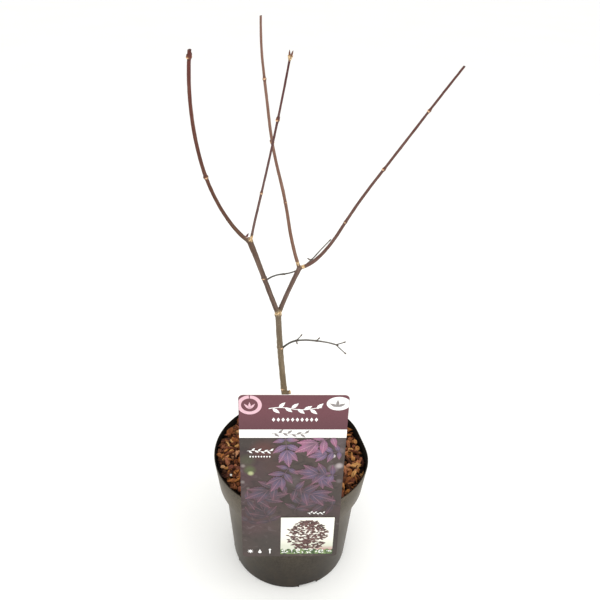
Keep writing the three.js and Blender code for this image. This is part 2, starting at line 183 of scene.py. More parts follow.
def applied(piece, kind, **settings):
    """Gives a piece a modifier with its settings, and applies it."""
    modifier = piece.modifiers.new("shaping", kind)
    for name, value in settings.items():
        setattr(modifier, name, value)
    bpy.context.view_layer.objects.active = piece
    bpy.ops.object.modifier_apply(modifier=modifier.name)


def combined(piece, operation, tool):
    """Adds the shape of a tool to a piece, or cuts it out, and throws the tool away."""
    applied(piece, "BOOLEAN", operation=operation, object=tool)
    bpy.data.objects.remove(tool)


def at_channels(radius, height):
    """The turn and the place of each drainage channel, at a radius and a height."""
    for i in range(CHANNELS):
        angle = math.radians(CHANNEL_FIRST_ANGLE + 360 * i / CHANNELS)
        yield angle, (radius * MM * math.cos(angle), radius * MM * math.sin(angle), height * MM)


def channel_boxes(inner, outer, width, low, high):
    """Boxes that lie out from the pot's axis, one at each drainage channel."""
    boxes = []
    size = ((outer - inner) * MM, width * MM, (high - low) * MM)
    for angle, place in at_channels((inner + outer) / 2, (low + high) / 2):
        bpy.ops.object.select_all(action="DESELECT")
        bpy.ops.mesh.primitive_cube_add(size=1, location=place, rotation=(0, 0, angle), scale=size)
        boxes.append(bpy.context.object)
    return joined("channel_boxes", boxes)


def drain_plugs():
    """Upright plugs that pierce the roof of each drainage channel."""
    plugs = []
    size = {"radius": DRAIN_RADIUS * MM, "depth": 3 * CHANNEL_ROOF * MM}
    for _, place in at_channels(DRAIN_PLACE, CHANNEL_HEIGHT):
        bpy.ops.object.select_all(action="DESELECT")
        bpy.ops.mesh.primitive_cylinder_add(vertices=DRAIN_SIDES, location=place, **size)
        plugs.append(bpy.context.object)
    return joined("drain_plugs", plugs)


def hill(away, reach):
    """A smooth hill: 1 at its middle, and next to nothing at twice its reach."""
    return math.exp(-((away / reach) ** 2))


def pressed(x, y, z):
    """The share by which the bent rim draws a point, in metres, towards the axis."""
    away = math.radians(PRESS_ANGLE) - math.atan2(y, x)
    share = hill(away, math.radians(PRESS_SPREAD))
    return 1 - PRESS_DEPTH / RIM_RADIUS * share * (z / (POT_HEIGHT * MM)) ** 2


def press_in(piece):
    """Bends a round piece in at the right, more towards the rim."""
    for vertex in piece.data.vertices:
        share = pressed(*vertex.co)
        vertex.co.x *= share
        vertex.co.y *= share


lip = POT_WALL / 2
inner_foot = FOOT_RADIUS - POT_WALL
pot = spun(
    "nursery_pot",
    [
        (0, 0),
        *rounded(FOOT_RADIUS - FOOT_ROUND, FOOT_ROUND, FOOT_ROUND, -90, 0),
        *body_wall(0),
        *collar_outline(0),
        *rounded(RIM_RADIUS - lip, POT_HEIGHT - lip, lip, 0, 180, 8),
        *reversed(collar_outline(POT_WALL)),
        *reversed(body_wall(POT_WALL)),
        (inner_foot + WALL_SPREAD, POT_FLOOR + FLOOR_EDGE_RISE),
        (inner_foot - FLOOR_EDGE, POT_FLOOR),
        (0, POT_FLOOR),
    ],
    POT_STEPS,
)
roofs = channel_boxes(
    CHANNEL_INNER_RADIUS - POT_WALL,
    FOOT_RADIUS - POT_WALL / 2,
    CHANNEL_WIDTH + 2 * POT_WALL,
    POT_FLOOR / 2,
    CHANNEL_HEIGHT + CHANNEL_ROOF,
)
hollows = channel_boxes(CHANNEL_INNER_RADIUS, 2 * FOOT_RADIUS, CHANNEL_WIDTH, -1, CHANNEL_HEIGHT)
combined(pot, "UNION", roofs)
combined(pot, "DIFFERENCE", hollows)
combined(pot, "DIFFERENCE", drain_plugs())
press_in(pot)
smoothed(pot, 35)


def linear(colour):
    """Turns a colour such as 4a4641 into the shader's own values."""
    values = []
    for i in (0, 2, 4):
        level = int(colour[i : i + 2], 16) / 255
        values.append(level / 12.92 if level <= 0.04045 else ((level + 0.055) / 1.055) ** 2.4)
    return (*values, 1)


def add(tree, kind, inputs=(), **settings):
    """Adds a shader node. An input is a value, or the output of another node."""
    made = tree.nodes.new("ShaderNode" + kind)
    for name, value in settings.items():
        setattr(made, name, value)
    for name, value in dict(inputs).items():
        if isinstance(value, bpy.types.NodeSocket):
            tree.links.new(value, made.inputs[name])
        else:
            made.inputs[name].default_value = value
    return made


def mixed(tree, share, first, second):
    """Mixes two colours, each a code or an output, by a share."""
    colours = [linear(c) if isinstance(c, str) else c for c in (first, second)]
    mix = add(tree, "Mix", {0: share, 6: colours[0], 7: colours[1]}, data_type="RGBA")
    return mix.outputs[2]


def spread(tree, value, low, high, to_low=0, to_high=1):
    """Stretches a value from one range to another, and holds it there."""
    inputs = {0: value, 1: low, 2: high, 3: to_low, 4: to_high}
    return add(tree, "MapRange", inputs).outputs[0]


def noisy(tree, place, scale, detail=2, **inputs):
    """A cloudy pattern at a place."""
    return add(tree, "TexNoise", {"Vector": place, "Scale": scale, "Detail": detail, **inputs}).outputs[0]


def worked_out(tree, operation, first, second=0):
    """The result of one sum on a value, or on two."""
    return add(tree, "Math", {0: first, 1: second}, operation=operation).outputs[0]


def own_place(tree):
    """The place of a point on its own object."""
    return add(tree, "TexCoord").outputs["Object"]


def axes(tree, place):
    """The X, Y and Z of a place."""
    return add(tree, "SeparateXYZ", {0: place}).outputs


def new_effect(name, inputs, outputs):
    """Starts a node group with named inputs and outputs."""
    group = bpy.data.node_groups.new(name, "ShaderNodeTree")
    for label, kind, value in inputs:
        socket = group.interface.new_socket(label, in_out="INPUT", socket_type="NodeSocket" + kind)
        if value is not None:
            socket.default_value = value
    for label, kind in outputs:
        group.interface.new_socket(label, in_out="OUTPUT", socket_type="NodeSocket" + kind)
    return group, group.nodes.new("NodeGroupInput").outputs, group.nodes.new("NodeGroupOutput").inputs


def place_effect(tree, group, inputs):
    """Places a node group in a material, with its own values."""
    placed = add(tree, "Group", node_tree=group)
    for name, value in inputs.items():
        if isinstance(value, bpy.types.NodeSocket):
            tree.links.new(value, placed.inputs[name])
        else:
            placed.inputs[name].default_value = linear(value) if isinstance(value, str) else value
    return placed.outputs


def new_finish(name, **constants):
    """A new material and its shader, with the constants set on the shader's own sockets."""
    material = bpy.data.materials.new(name)
    material.use_nodes = True
    tree = material.node_tree
    shader = tree.nodes["Principled BSDF"]
    for label, value in constants.items():
        shader.inputs[label.replace("_", " ")].default_value = value
    return material, tree, shader.inputs


def surfaced(tree, shader, colour, height=None, depth=0):
    """Gives a shader its colour, and the relief of a height with a depth in millimetres."""
    tree.links.new(colour, shader["Base Color"])
    if height is not None:
        relief = add(tree, "Bump", {"Height": height, "Distance": depth * MM, "Strength": 1.0})
        tree.links.new(relief.outputs["Normal"], shader["Normal"])


def coated(piece, *finishes):
    """Gives a piece its finishes, in place of any it has."""
    piece.data.materials.clear()
    for finish in finishes:
        piece.data.materials.append(finish)


handled, ins, outs = new_effect(
    "handled plastic",
    [("Place", "Vector", None), ("Dust", "Float", 0.5)],
    [("Dust", "Float"), ("Grain", "Float")],
)
clouds = noisy(handled, ins["Place"], 26, 5, Roughness=0.62)
specks = noisy(handled, ins["Place"], 420)
patches = spread(handled, clouds, 0.34, 0.7, 0.6, 1)
broken = worked_out(handled, "MULTIPLY", patches, spread(handled, specks, 0.3, 0.6, 0.5, 1))
handled.links.new(worked_out(handled, "MULTIPLY", broken, ins["Dust"]), outs["Dust"])
handled.links.new(specks, outs["Grain"])

PLASTIC_GLOSS = 0.12
PLASTIC_GLINT = (1, 0.92, 0.82, 1)
HANDLED_RELIEF = 0.02

pot_plastic, tree, shader = new_finish(
    "satin pot plastic",
    Specular_IOR_Level=PLASTIC_GLOSS,
    Specular_Tint=PLASTIC_GLINT,
    Sheen_Weight=0.14,
    Sheen_Roughness=0.4,
    Sheen_Tint=(1, 0.93, 0.84, 1),
)
place = own_place(tree)
height_above = axes(tree, place)["Z"]
# The dust share grows from the foot towards the rim, so the collar is lighter than the body: partly dust,
# partly painted light on the collar and painted shade on the body below it.
dust_and_top_light = spread(tree, height_above, 0, 0.15, 0.04, 0.8)
touched = place_effect(tree, handled, {"Place": place, "Dust": dust_and_top_light})
plain = mixed(tree, touched["Dust"], "14100d", "6d6353")
low_down = spread(tree, height_above, 0, 0.05, 1, 0)
soil = spread(tree, noisy(tree, place, 60, 4), 0.45, 0.7, 0, 0.6)
soiled = mixed(tree, worked_out(tree, "MULTIPLY", low_down, soil), plain, "3f3325")
# The lowest few millimetres of the foot are painted near black and made rougher: a painted shade along
# the rounded edge that meets the floor.
painted_foot_shade = spread(tree, height_above, 0.0012, 0.0034, 1, 0)
surfaced(tree, shader, mixed(tree, painted_foot_shade, soiled, "0a0806"), touched["Grain"], HANDLED_RELIEF)
satin = spread(tree, touched["Dust"], 0, 0.8, 0.42, 0.56)
rough = worked_out(tree, "ADD", satin, spread(tree, painted_foot_shade, 0, 1, 0, 0.5))
tree.links.new(rough, shader["Roughness"])

inner_plastic, tree, shader = new_finish(
    "shaded pot plastic", Specular_IOR_Level=PLASTIC_GLOSS, Specular_Tint=PLASTIC_GLINT
)
touched = place_effect(tree, handled, {"Place": own_place(tree), "Dust": 0.2})
shaded = mixed(tree, touched["Dust"], "100e0c", "332d25")
surfaced(tree, shader, shaded, touched["Grain"], HANDLED_RELIEF)
tree.links.new(spread(tree, touched["Dust"], 0, 0.4, 0.6, 0.8), shader["Roughness"])

coated(pot, pot_plastic, inner_plastic)
for face in pot.data.polygons:
    outward = Vector((face.center.x, face.center.y, 0)).normalized()
    face.material_index = int(face.center.z > CHANNEL_HEIGHT * MM and face.normal.dot(outward) < 0.5)
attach(pot, "root")
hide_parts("pot")

# Potting mix
# Dark peat with fine bark, poured in up to a finger below the rim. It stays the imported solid,
# and its finish shows only through the drains.


def speckled(tree, place, scale, dark, light, low=0, high=1, detail=2):
    """Two colours that change over in cloudy spots."""
    return mixed(tree, spread(tree, noisy(tree, place, scale, detail), low, high), dark, light)


def crumbly(name, crumb_scale, relief, *shade):
    """A dull finish of fine crumbs, in dark and lighter patches."""
    made, tree, shader = new_finish(name, Roughness=0.95, Specular_IOR_Level=0.2)
    place = own_place(tree)
    crumbs = add(tree, "TexVoronoi", {"Vector": place, "Scale": crumb_scale}).outputs["Distance"]
    surfaced(tree, shader, speckled(tree, place, *shade), crumbs, relief)
    return made


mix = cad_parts["potting_mix"]
coated(mix, crumbly("moist potting mix", 420, 1.2, 90, "1d140f", "3d2b20", 0.3, 0.7, 5))

# Bark mulch
# Composted pine bark, spread loose on the mix: a dark bed of fines with slabs, splinters,
# shavings and round flakes lying on it, each at rest on those under it, and a little perlite.

BED_LOW = 148.3
BED_TOP = 154.5
BED_STEP = 3.5
MULCH_TOP = 161.5
MULCH_RISE = 0.03
TRUNK_FOOT_X = -1.8
CHIP_CLEARANCE = 0.4
WALL_TOUCH = 0.15
CELL = 1.5
CHIP_TRIES = 4200
CHIP_SHARES = (27, 42, 18, 8, 5)
CHIP_TILT = 0.16
CHIP_SIZES = (0.7, 1.3)
CHIP_TONES = (1.2, 1.5)
CHIP_ROOM = 1.2
STEEPEST = 0.55
SETTLED = 0.8
STEM_ROOM = 6
BED_STEPS = 96
LUMP_REACH = 9
LUMP_RISE = 1.3
KNOCK = 0.16
EDGE = 0.34
PATTERN_SIZE = 50
HEAP_LEFT = 2
HEAP_OVER = 1
# Depths below the top of the mulch between which the chips are painted darker, a painted shade in the
# gaps
DARKEST_SHADE_DEPTH = 5.5
SHADE_FREE_DEPTH = 0.5

random.seed(11)
noise.seed_set(11)


def inner_radius(angle, height):
    """How far the inside of the pot's wall is from the axis, in millimetres."""
    share = (height - COLLAR_FOOT_HEIGHT) / (POT_HEIGHT - COLLAR_FOOT_HEIGHT)
    radius = COLLAR_FOOT_RADIUS + (RIM_RADIUS - COLLAR_FOOT_RADIUS) * share - POT_WALL
    return radius * pressed(math.cos(angle), math.sin(angle), height * MM)


bed_radius = inner_radius(math.pi, BED_LOW) - CHIP_CLEARANCE
rings = int(bed_radius / BED_STEP)
bed_top = [(bed_radius * (1 - i / rings), BED_TOP) for i in range(rings + 1)]
bed = spun("mulch_bed", [(0, BED_LOW), (bed_radius, BED_LOW), *bed_top], BED_STEPS)
for vertex in bed.data.vertices:
    if vertex.co.z > (BED_LOW + 1) * MM:
        lump = LUMP_RISE * noise.fractal(vertex.co / (LUMP_REACH * MM), 1, 2, 3)
        vertex.co.z += (lump - MULCH_RISE * vertex.co.x / MM) * MM
press_in(bed)
smoothed(bed, 50)

coated(bed, crumbly("bark fines", 520, 1, 160, "100805", "26150c", 0.35, 0.65, 4))
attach(bed, "root")
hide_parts("bark_mulch")


def grained(piece):
    """Keeps each point's own place on a small piece, so that its grain runs along it."""
    piece.data.attributes.new("grain", "FLOAT_VECTOR", "POINT")
    for vertex, value in zip(piece.data.vertices, piece.data.attributes["grain"].data):
        value.vector = vertex.co / MM
    return piece


def toned(piece, tone):
    """Gives a small piece its place between the colours of its finish."""
    if "tone" not in piece.data.attributes:
        piece.data.attributes.new("tone", "FLOAT", "POINT")
    for value in piece.data.attributes["tone"].data:
        value.value = tone
    return piece


def copied(shape, matrix):
    """Copies a shape to a place, with its own mesh."""
    copy = shape.copy()
    copy.data = shape.data.copy()
    copy.data.transform(matrix)
    bpy.context.scene.collection.objects.link(copy)
    return copy


def somewhere():
    """A random place in a pattern, the same on each run."""
    return Vector([random.uniform(0, PATTERN_SIZE) for _ in range(3)])


def slab(length, width, thickness):
    """A broken slab of bark: a cut-up block with its ends and edges knocked off."""
    bpy.ops.object.select_all(action="DESELECT")
    bpy.ops.mesh.primitive_cube_add(size=1, scale=(length * MM, width * MM, thickness * MM))
    piece = bpy.context.object
    fix_place(piece)
    bpy.ops.object.mode_set(mode="EDIT")
    bpy.ops.mesh.select_all(action="SELECT")
    bpy.ops.mesh.subdivide(number_cuts=2)
    bpy.ops.object.mode_set(mode="OBJECT")
    shift = somewhere()
    narrow = random.uniform(0.3, 0.85)
    skew = random.uniform(-0.5, 0.5)
    bow = random.uniform(-0.5, 0.9)
    cup = random.uniform(-0.3, 0.7)
    for vertex in piece.data.vertices:
        x, y, z = vertex.co / MM
        outer = max(0, abs(x) / (length / 2) - EDGE) / (1 - EDGE)
        knock = noise.noise_vector(Vector((x, y, 2 * z)) * 0.6 + shift)
        x += skew * y * 1.2 + 0.17 * length * knock.x
        y = y * (1 - (1 - narrow) * outer) + 0.3 * width * knock.y
        z += 0.4 * thickness * knock.z + 0.35 * outer * thickness * knock.x
        z += bow * thickness * (1 - (2 * x / length) ** 2)
        z -= cup * thickness * (1 - (2 * y / width) ** 2)
        vertex.co = Vector((x, y, z)) * MM
    return grained(piece)


def shaving(radius, width, thickness, sweep):
    """A curled shaving: a strip bent round an arc, and given its thickness."""
    bpy.ops.object.select_all(action="DESELECT")
    bpy.ops.mesh.primitive_grid_add(x_subdivisions=10, y_subdivisions=2, size=1)
    piece = bpy.context.object
    for vertex in piece.data.vertices:
        angle = vertex.co.x * math.radians(sweep)
        reach = radius * (1 + 0.2 * vertex.co.x)
        y = vertex.co.y * width * (1 - 0.9 * vertex.co.x**2) + 0.8 * vertex.co.x
        vertex.co = Vector((reach * math.sin(angle), y, reach * math.cos(angle) - 0.6 * radius)) * MM
    applied(piece, "SOLIDIFY", thickness=thickness * MM)
    return grained(piece)


def round_flake(radius, thickness):
    """A round flake of bark, dished in its middle."""
    bpy.ops.object.select_all(action="DESELECT")
    bpy.ops.mesh.primitive_cylinder_add(vertices=10, radius=radius * MM, depth=thickness * MM)
    piece = bpy.context.object
    bpy.ops.object.mode_set(mode="EDIT")
    bpy.ops.mesh.select_mode(type="FACE")
    bpy.ops.mesh.select_all(action="DESELECT")
    bpy.ops.object.mode_set(mode="OBJECT")
    for face in piece.data.polygons:
        face.select = face.normal.z > 0.9
    bpy.ops.object.mode_set(mode="EDIT")
    bpy.ops.mesh.inset(thickness=0.3 * radius * MM)
    bpy.ops.mesh.inset(thickness=0.16 * radius * MM, depth=-0.75 * thickness * MM)
    bpy.ops.object.mode_set(mode="OBJECT")
    shift = somewhere()
    for vertex in piece.data.vertices:
        vertex.co.y *= 0.8
        vertex.co += KNOCK * radius * noise.noise_vector(vertex.co / (3 * MM) + shift) * MM
    return grained(piece)


WIDE_SLABS = [(11.5, 6.5, 1.8), (9.5, 5.5, 2), (7.5, 4.6, 1.7)]
SPLINTERS = [(13, 2.2, 1.3), (10, 1.8, 1.1), (16, 2.6, 1.5), (11, 2.9, 1.2)]
CRUMBS = [(4.8, 3, 1.6), (4.2, 3.4, 1.8), (5.6, 2.4, 1.4)]
SHAVINGS = [(3.6, 4.2, 0.9, 190), (4.6, 3.4, 0.8, 150), (3, 3.6, 0.9, 240)]
FLAKES = [(3.6, 1.5), (4.4, 1.8)]

# The shapes of each kind, with the length and width that a chip of it takes up
CHIP_KINDS = {
    "slab": ([slab(*random.choice(WIDE_SLABS)) for _ in range(10)], 8.6, 5.4),
    "splinter": ([slab(*size) for size in SPLINTERS], 12, 2.3),
    "crumb": ([slab(*size) for size in CRUMBS], 4.6, 3),
    "shaving": ([shaving(*size) for size in SHAVINGS], 7, 4),
    "flake": ([round_flake(*size) for size in FLAKES], 8, 6.6),
}

cells = np.arange(-RIM_RADIUS, RIM_RADIUS + CELL, CELL)
heap_x, heap_y = np.meshgrid(cells, cells, indexing="ij")
heap = BED_TOP - MULCH_RISE * heap_x


def cells_under(x, y, turn, length, width):
    """The heap's cells under a chip, and where they lie along and across it."""
    u = (heap_x - x) * math.cos(turn) + (heap_y - y) * math.sin(turn)
    v = (heap_y - y) * math.cos(turn) - (heap_x - x) * math.sin(turn)
    under = (abs(u) < length / 2) & (abs(v) < max(width, 2 * CELL) / 2)
    return under, u[under], v[under]


def lay(chip, x, y, turn, size, kind, tilt):
    """Lays a chip on the heap, on the slope of what is under it, and says where it lies."""
    _, length, width = CHIP_KINDS[kind]
    under, u, v = cells_under(x, y, turn, length * size, width * size)
    uneven = heap[under] - heap[under].mean()
    slopes = [(uneven * way).sum() / (way**2).sum() for way in (u - u.mean(), v - v.mean())]
    slope_u, slope_v = np.clip(slopes, -STEEPEST, STEEPEST).round(3) + tilt
    slope = slope_u * u + slope_v * v
    seat = np.quantile(heap[under] - slope, SETTLED)
    thickness = max(vertex.co.z for vertex in chip.data.vertices) / MM * size
    heap[under] = np.maximum(heap[under], seat + slope + CHIP_ROOM * thickness).round(3)
    across = Vector((math.cos(turn), math.sin(turn), slope_u))
    aside = Vector((-math.sin(turn), math.cos(turn), slope_v))
    up = across.cross(aside).normalized()
    across.normalize()
    turned = Matrix((across, up.cross(across), up)).transposed().to_4x4()
    seated = Matrix.Translation(Vector((x, y, seat + thickness)) * MM)
    return seated @ turned @ Matrix.Scale(size, 4)


def fits(x, y, turn, length, width):
    """Whether a chip stays inside the pot's wall and off the stem."""
    if math.hypot(x - TRUNK_FOOT_X, y) < STEM_ROOM + width / 2:
        return False
    for along in (-length / 2, length / 2):
        for beside in (-width / 2, width / 2):
            px = x + along * math.cos(turn) - beside * math.sin(turn)
            py = y + along * math.sin(turn) + beside * math.cos(turn)
            if math.hypot(px, py) > inner_radius(math.atan2(py, px), MULCH_TOP) - CHIP_CLEARANCE:
                return False
    return True


chips = []
for _ in range(CHIP_TRIES):
    kind = random.choices(list(CHIP_KINDS), weights=CHIP_SHARES)[0]
    shapes, length, width = CHIP_KINDS[kind]
    radius = RIM_RADIUS * math.sqrt(random.random())
    angle = random.uniform(-math.pi, math.pi)
    x, y = radius * math.cos(angle), radius * math.sin(angle)
    turn = random.uniform(-math.pi, math.pi)
    size = random.uniform(*CHIP_SIZES)
    shape = random.choice(shapes)
    tilt = (random.gauss(0, CHIP_TILT), random.gauss(0, CHIP_TILT))
    tone = random.betavariate(*CHIP_TONES)
    span = (x, y, turn, length * size, width * size)
    below = heap[cells_under(*span)[0]]
    top = MULCH_TOP - MULCH_RISE * x
    if below.mean() <= top - HEAP_LEFT and below.max() <= top + HEAP_OVER and fits(*span):
        chips.append((shape, lay(shape, x, y, turn, size, kind, tilt), tone))

# The chips that the eye finds first: round flakes, a curl and wide slabs at the right, and at
# the left a pale sliver among reddish slabs. Each is kind, shape, x, y, turn in degrees,
# length, tone, and how steeply it leans to the front.
FOUND_CHIPS = [
    ("slab", 9, 74.4, 29.5, 60, 9, 0.5, 0.2),
    ("flake", 1, 74, 9.6, 20, 7, 0.92, 0.6),
    ("flake", 0, 81, 24, 100, 6.4, 0.867, 0.6),
    ("flake", 0, 83, 13.2, 60, 7.6, 0.838, 0.6),
    ("splinter", 1, 82, 0, -30, 8, 0.72, 0.3),
    ("slab", 7, 86, -6, 85, 6.5, 0.62, 0.5),
    ("shaving", 2, 76.6, -4.4, 80, 7.5, 0.84, 0.3),
    ("slab", 4, 70.5, -17.5, 8, 7, 0.81, 0.3),
    ("slab", 0, 79, -17, 5, 15, 0.92, 0.3),
    ("splinter", 2, 87, -27, 75, 13, 0.84, 0.5),
    ("slab", 5, 76, -32, 60, 11, 0.92, 0.5),
    ("slab", 3, 67.5, -56, 30, 7.5, 0.76, 0.3),
    ("slab", 0, -74.5, 14, 20, 10, 0.52, 0.3),
    ("slab", 7, -69, 6, 10, 7.5, 0.92, 0.4),
    ("slab", 6, -86, 5.5, 70, 7.5, 0.62, 0.2),
    ("slab", 3, -85.5, -10, 80, 8.5, 0.66, 0.2),
    ("slab", 1, -75, -19, 35, 11, 0.58, 0.2),
    ("slab", 4, -72, -33, 10, 9, 0.35, 0),
    ("slab", 2, -73.5, -46.5, -75, 9.5, 0.6, 0.2),
    ("splinter", 3, -63, -50, 40, 9, 0.74, 0.2),
    ("crumb", 1, -74.7, -3.5, 20, 6.2, 0.865, 0.5),
    ("splinter", 0, -80.3, 6.2, -66, 12.5, 0.975, 0.2),
]
for kind, number, x, y, turn, length, tone, lean in FOUND_CHIPS:
    shape = CHIP_KINDS[kind][0][number]
    size = length * MM / shape.dimensions.x
    turn = math.radians(turn)
    tilt = (lean * math.sin(turn), lean * math.cos(turn))
    chips.append((shape, lay(shape, x, y, turn, size, kind, tilt), tone))

laid = [toned(copied(shape, matrix), tone) for shape, matrix, tone in chips]
bark_chips = joined("bark_chips", laid)
for shapes, _, _ in CHIP_KINDS.values():
    for shape in shapes:
        bpy.data.objects.remove(shape)

# A chip whose corner would go into the pot's wall is pressed flat against it
for vertex in bark_chips.data.vertices:
    reach = math.hypot(vertex.co.x, vertex.co.y)
    wall = (inner_radius(math.atan2(vertex.co.y, vertex.co.x), vertex.co.z / MM) - WALL_TOUCH) * MM
    if reach > wall:
        vertex.co.x *= wall / reach
        vertex.co.y *= wall / reach
smoothed(bark_chips, 22)


def kept(tree, name, output="Fac"):
    """A value that the points of a piece keep under a name."""
    return add(tree, "Attribute", attribute_name=name).outputs[output]


def ramped(tree, value, first, last, stops):
    """Colours a value by a row of colours, from the first through its stops to the last."""
    ramp = add(tree, "ValToRGB", {0: value})
    colours = ramp.color_ramp.elements
    colours[0].color = linear(first)
    colours[1].color = linear(last)
    for position, colour in stops:
        colours.new(position).color = linear(colour)
    return ramp.outputs[0]


chip_finish, tree, shader = new_finish("pine bark chip", Roughness=0.85, Specular_IOR_Level=0.25)
place = own_place(tree)
tone = kept(tree, "tone")
lengthwise = add(tree, "Mapping", {"Vector": kept(tree, "grain", "Vector"), "Scale": (0.13, 0.85, 0.85)})
fibres = noisy(tree, lengthwise.outputs[0], 1, 5, Roughness=0.7)
ramp = ramped(tree, tone, "33180d", "e2ae6c", ((0.26, "5c2d13"), (0.5, "8a4e26"), (0.76, "be7a3b")))
# Some chips are redder and greyer than others
share = worked_out(tree, "FRACT", worked_out(tree, "MULTIPLY", tone, 37))
hue = spread(tree, share, 0.4, 1, 0.5, 0.485)
saturation = spread(tree, share, 0.4, 1, 1, 0.88)
reddened = add(tree, "HueSaturation", {"Hue": hue, "Saturation": saturation, "Color": ramp}).outputs[0]
streaked = mixed(tree, spread(tree, fibres, 0.36, 0.62, 0.62, 0), reddened, "34180a")
blotch = spread(tree, noisy(tree, place, 240, 3), 0.5, 0.75, 0, 0.35)
blotched = mixed(tree, blotch, streaked, "93632f")
# Lower down the chips are painted darker: a painted shade in the gaps between them
spot = axes(tree, place)
level = worked_out(tree, "ADD", spot["Z"], worked_out(tree, "MULTIPLY", spot["X"], MULCH_RISE))
painted_gap_shade = spread(tree, level, (MULCH_TOP - DARKEST_SHADE_DEPTH) * MM, (MULCH_TOP - SHADE_FREE_DEPTH) * MM, 0.9, 0)
surfaced(tree, shader, mixed(tree, painted_gap_shade, blotched, "170a05"), fibres, 0.5)
coated(bark_chips, chip_finish)
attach(bark_chips, "root")

# Perlite
# A few white grains of expanded glass rock that came up out of the mix and lie on the bark.
# Each is given by where it lies and its size.

PERLITE_PLACES = [
    (-71.4, -42, 1.5),
    (-87.9, 15, 0.8),
    (31, 60, 1.2),
    (-20, -70, 1.4),
    (52, -42, 1.1),
    (-48, 52, 1.3),
    (10, 34, 1),
]
PERLITE_SEAT = 0.8
PERLITE_LUMP = 0.8
PERLITE_UNEVEN = 0.25

grains = []
for x, y, size in PERLITE_PLACES:
    cell = np.unravel_index(np.argmin((heap_x - x) ** 2 + (heap_y - y) ** 2), heap.shape)
    seat = (x * MM, y * MM, (heap[cell] + PERLITE_SEAT * size) * MM)
    bpy.ops.object.select_all(action="DESELECT")
    bpy.ops.mesh.primitive_ico_sphere_add(subdivisions=2, radius=size * MM, location=seat)
    bead = bpy.context.object
    for vertex in bead.data.vertices:
        spot = vertex.co / (PERLITE_LUMP * MM) + Vector((x, y, 0))
        vertex.co *= 1 + PERLITE_UNEVEN * noise.noise(spot)
    grains.append(bead)
perlite = joined("perlite_grains", grains)
smoothed(perlite, 40)
perlite_finish, tree, shader = new_finish("perlite", Roughness=0.9)
pores = noisy(tree, own_place(tree), 1800)
surfaced(tree, shader, mixed(tree, pores, "f4f1ea", "cfc8ba"), pores, 0.3)
coated(perlite, perlite_finish)
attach(perlite, "root")

# Stem and limbs
# The grafted stem forks into two limbs, and each limb into two long shoots. Every limb is
# grown from its headings: lean is its slope to the right of upright and fore its slope to
# the front, in degrees, at even places. turn is added at its foot, which is set beside the
# fork's middle, and thick is its diameter. A node is its place, the turn of its buds and size.

LIMBS = {
    "trunk": {
        "length": 219.2,
        "lean": [0, -7, -5, -2.5],
        "fore": [0, 0],
        "thick": [8.4, 7.7, 6.9, 6.5],
        "flare": 1.9,
        "nodes": [(117.6, 235, 0.3), (176, 310, 0.3)],
    },
    "left_limb": {
        "length": 97.8,
        "lean": [-17.5, -17, -18],
        "fore": [6, 5.5],
        "thick": [5.7, 5.4, 5.3, 5.5, 6.6],
        "nodes": [(50.8, 250, 0.4)],
    },
    "right_limb": {
        "length": 58.3,
        "lean": [18.5, 22, 24],
        "fore": [-7, -7],
        "thick": [5.2, 4.9, 4.9, 5.2],
        "nodes": [],
    },
    "left_outer": {
        "length": 210.6,
        "set": (-0.6, -0.8),
        "turn": -15,
        "lean": [-34.5, -8, 10],
        "fore": [13, 17, 20],
        "thick": [4.2, 3.6, 3.5, 3.4, 3.2, 3.1],
        "nodes": [(87, 285, 1), (204.6, 228, 1.1)],
    },
    "left_inner": {
        "length": 179.2,
        "set": (1.5, 0),
        "turn": -6,
        "lean": [14, 10],
        "fore": [-1, -5.5],
        "thick": [2.7, 2.4, 2.25, 2.1, 2],
        "nodes": [(51.5, 280, 0.9), (122.5, 235, 1.3)],
        "cup": 2.5,
    },
    "right_inner": {
        "length": 251.5,
        "lean": [-19.5, -10, -17, -8.5, -8.5, 0],
        "fore": [-12.5, -20, -19],
        "thick": [3.9, 3.5, 3.4, 3.1, 3, 2.6, 2.3],
        "nodes": [(71, 300, 0.2), (132, 190, 0.8), (193, 270, 1.1)],
    },
    "right_outer": {
        "length": 260.9,
        "set": (-0.25, 0.95),
        "turn": 40,
        "lean": [39, 24.5, 29.5, 28, 28],
        "fore": [4, 17],
        "thick": [4.1, 3.4, 3.1, 2.75, 2.5, 2.15, 1.9],
        "nodes": [(75.5, 250, 0.4), (144, 225, 1), (213.5, 240, 1.2)],
    },
}
FOOT = Vector((TRUNK_FOOT_X, 0, BED_LOW))
GROWTH_STEP = 2
TURN_REACH = 14
FLARE_REACH = 9
NODE_SWELL = 0.4
NODE_REACH = 1.6
SCAR_REACH = 0.6
SCAR_RIDGE = 0.14
SCAR_GROOVE = 0.12
SCAR_UNEVEN = 0.5
SHADE_BELOW = 2
GRAIN_ROUND = 4
GRAIN_ALONG = 0.07
LUMPS_ALONG = 0.2
FORK_SCAR = 1.4
DEAD_TIP = 0.15
MIDDLE_REACH = 0.8
CUP_LENGTH = 4.5
LEG = 8
LEG_OVERLAP = 0.5
LIMB_START = LEG - 0.4
DRESS_START = LEG - 1
RING_STEP = 0.8
TRUNK_SIDES = 20
LIMB_SIDES = 16
BARK_CREASE = 60
LEG_START = 3
TRUNK_SKIN = 0.5
LIMB_SKIN = 0.4


def along(values, share):
    """Reads values spread evenly along a limb, at a share of its length."""
    place = max(0, min(1, share)) * (len(values) - 1)
    left = min(int(place), len(values) - 2)
    return values[left] + (values[left + 1] - values[left]) * (place - left)


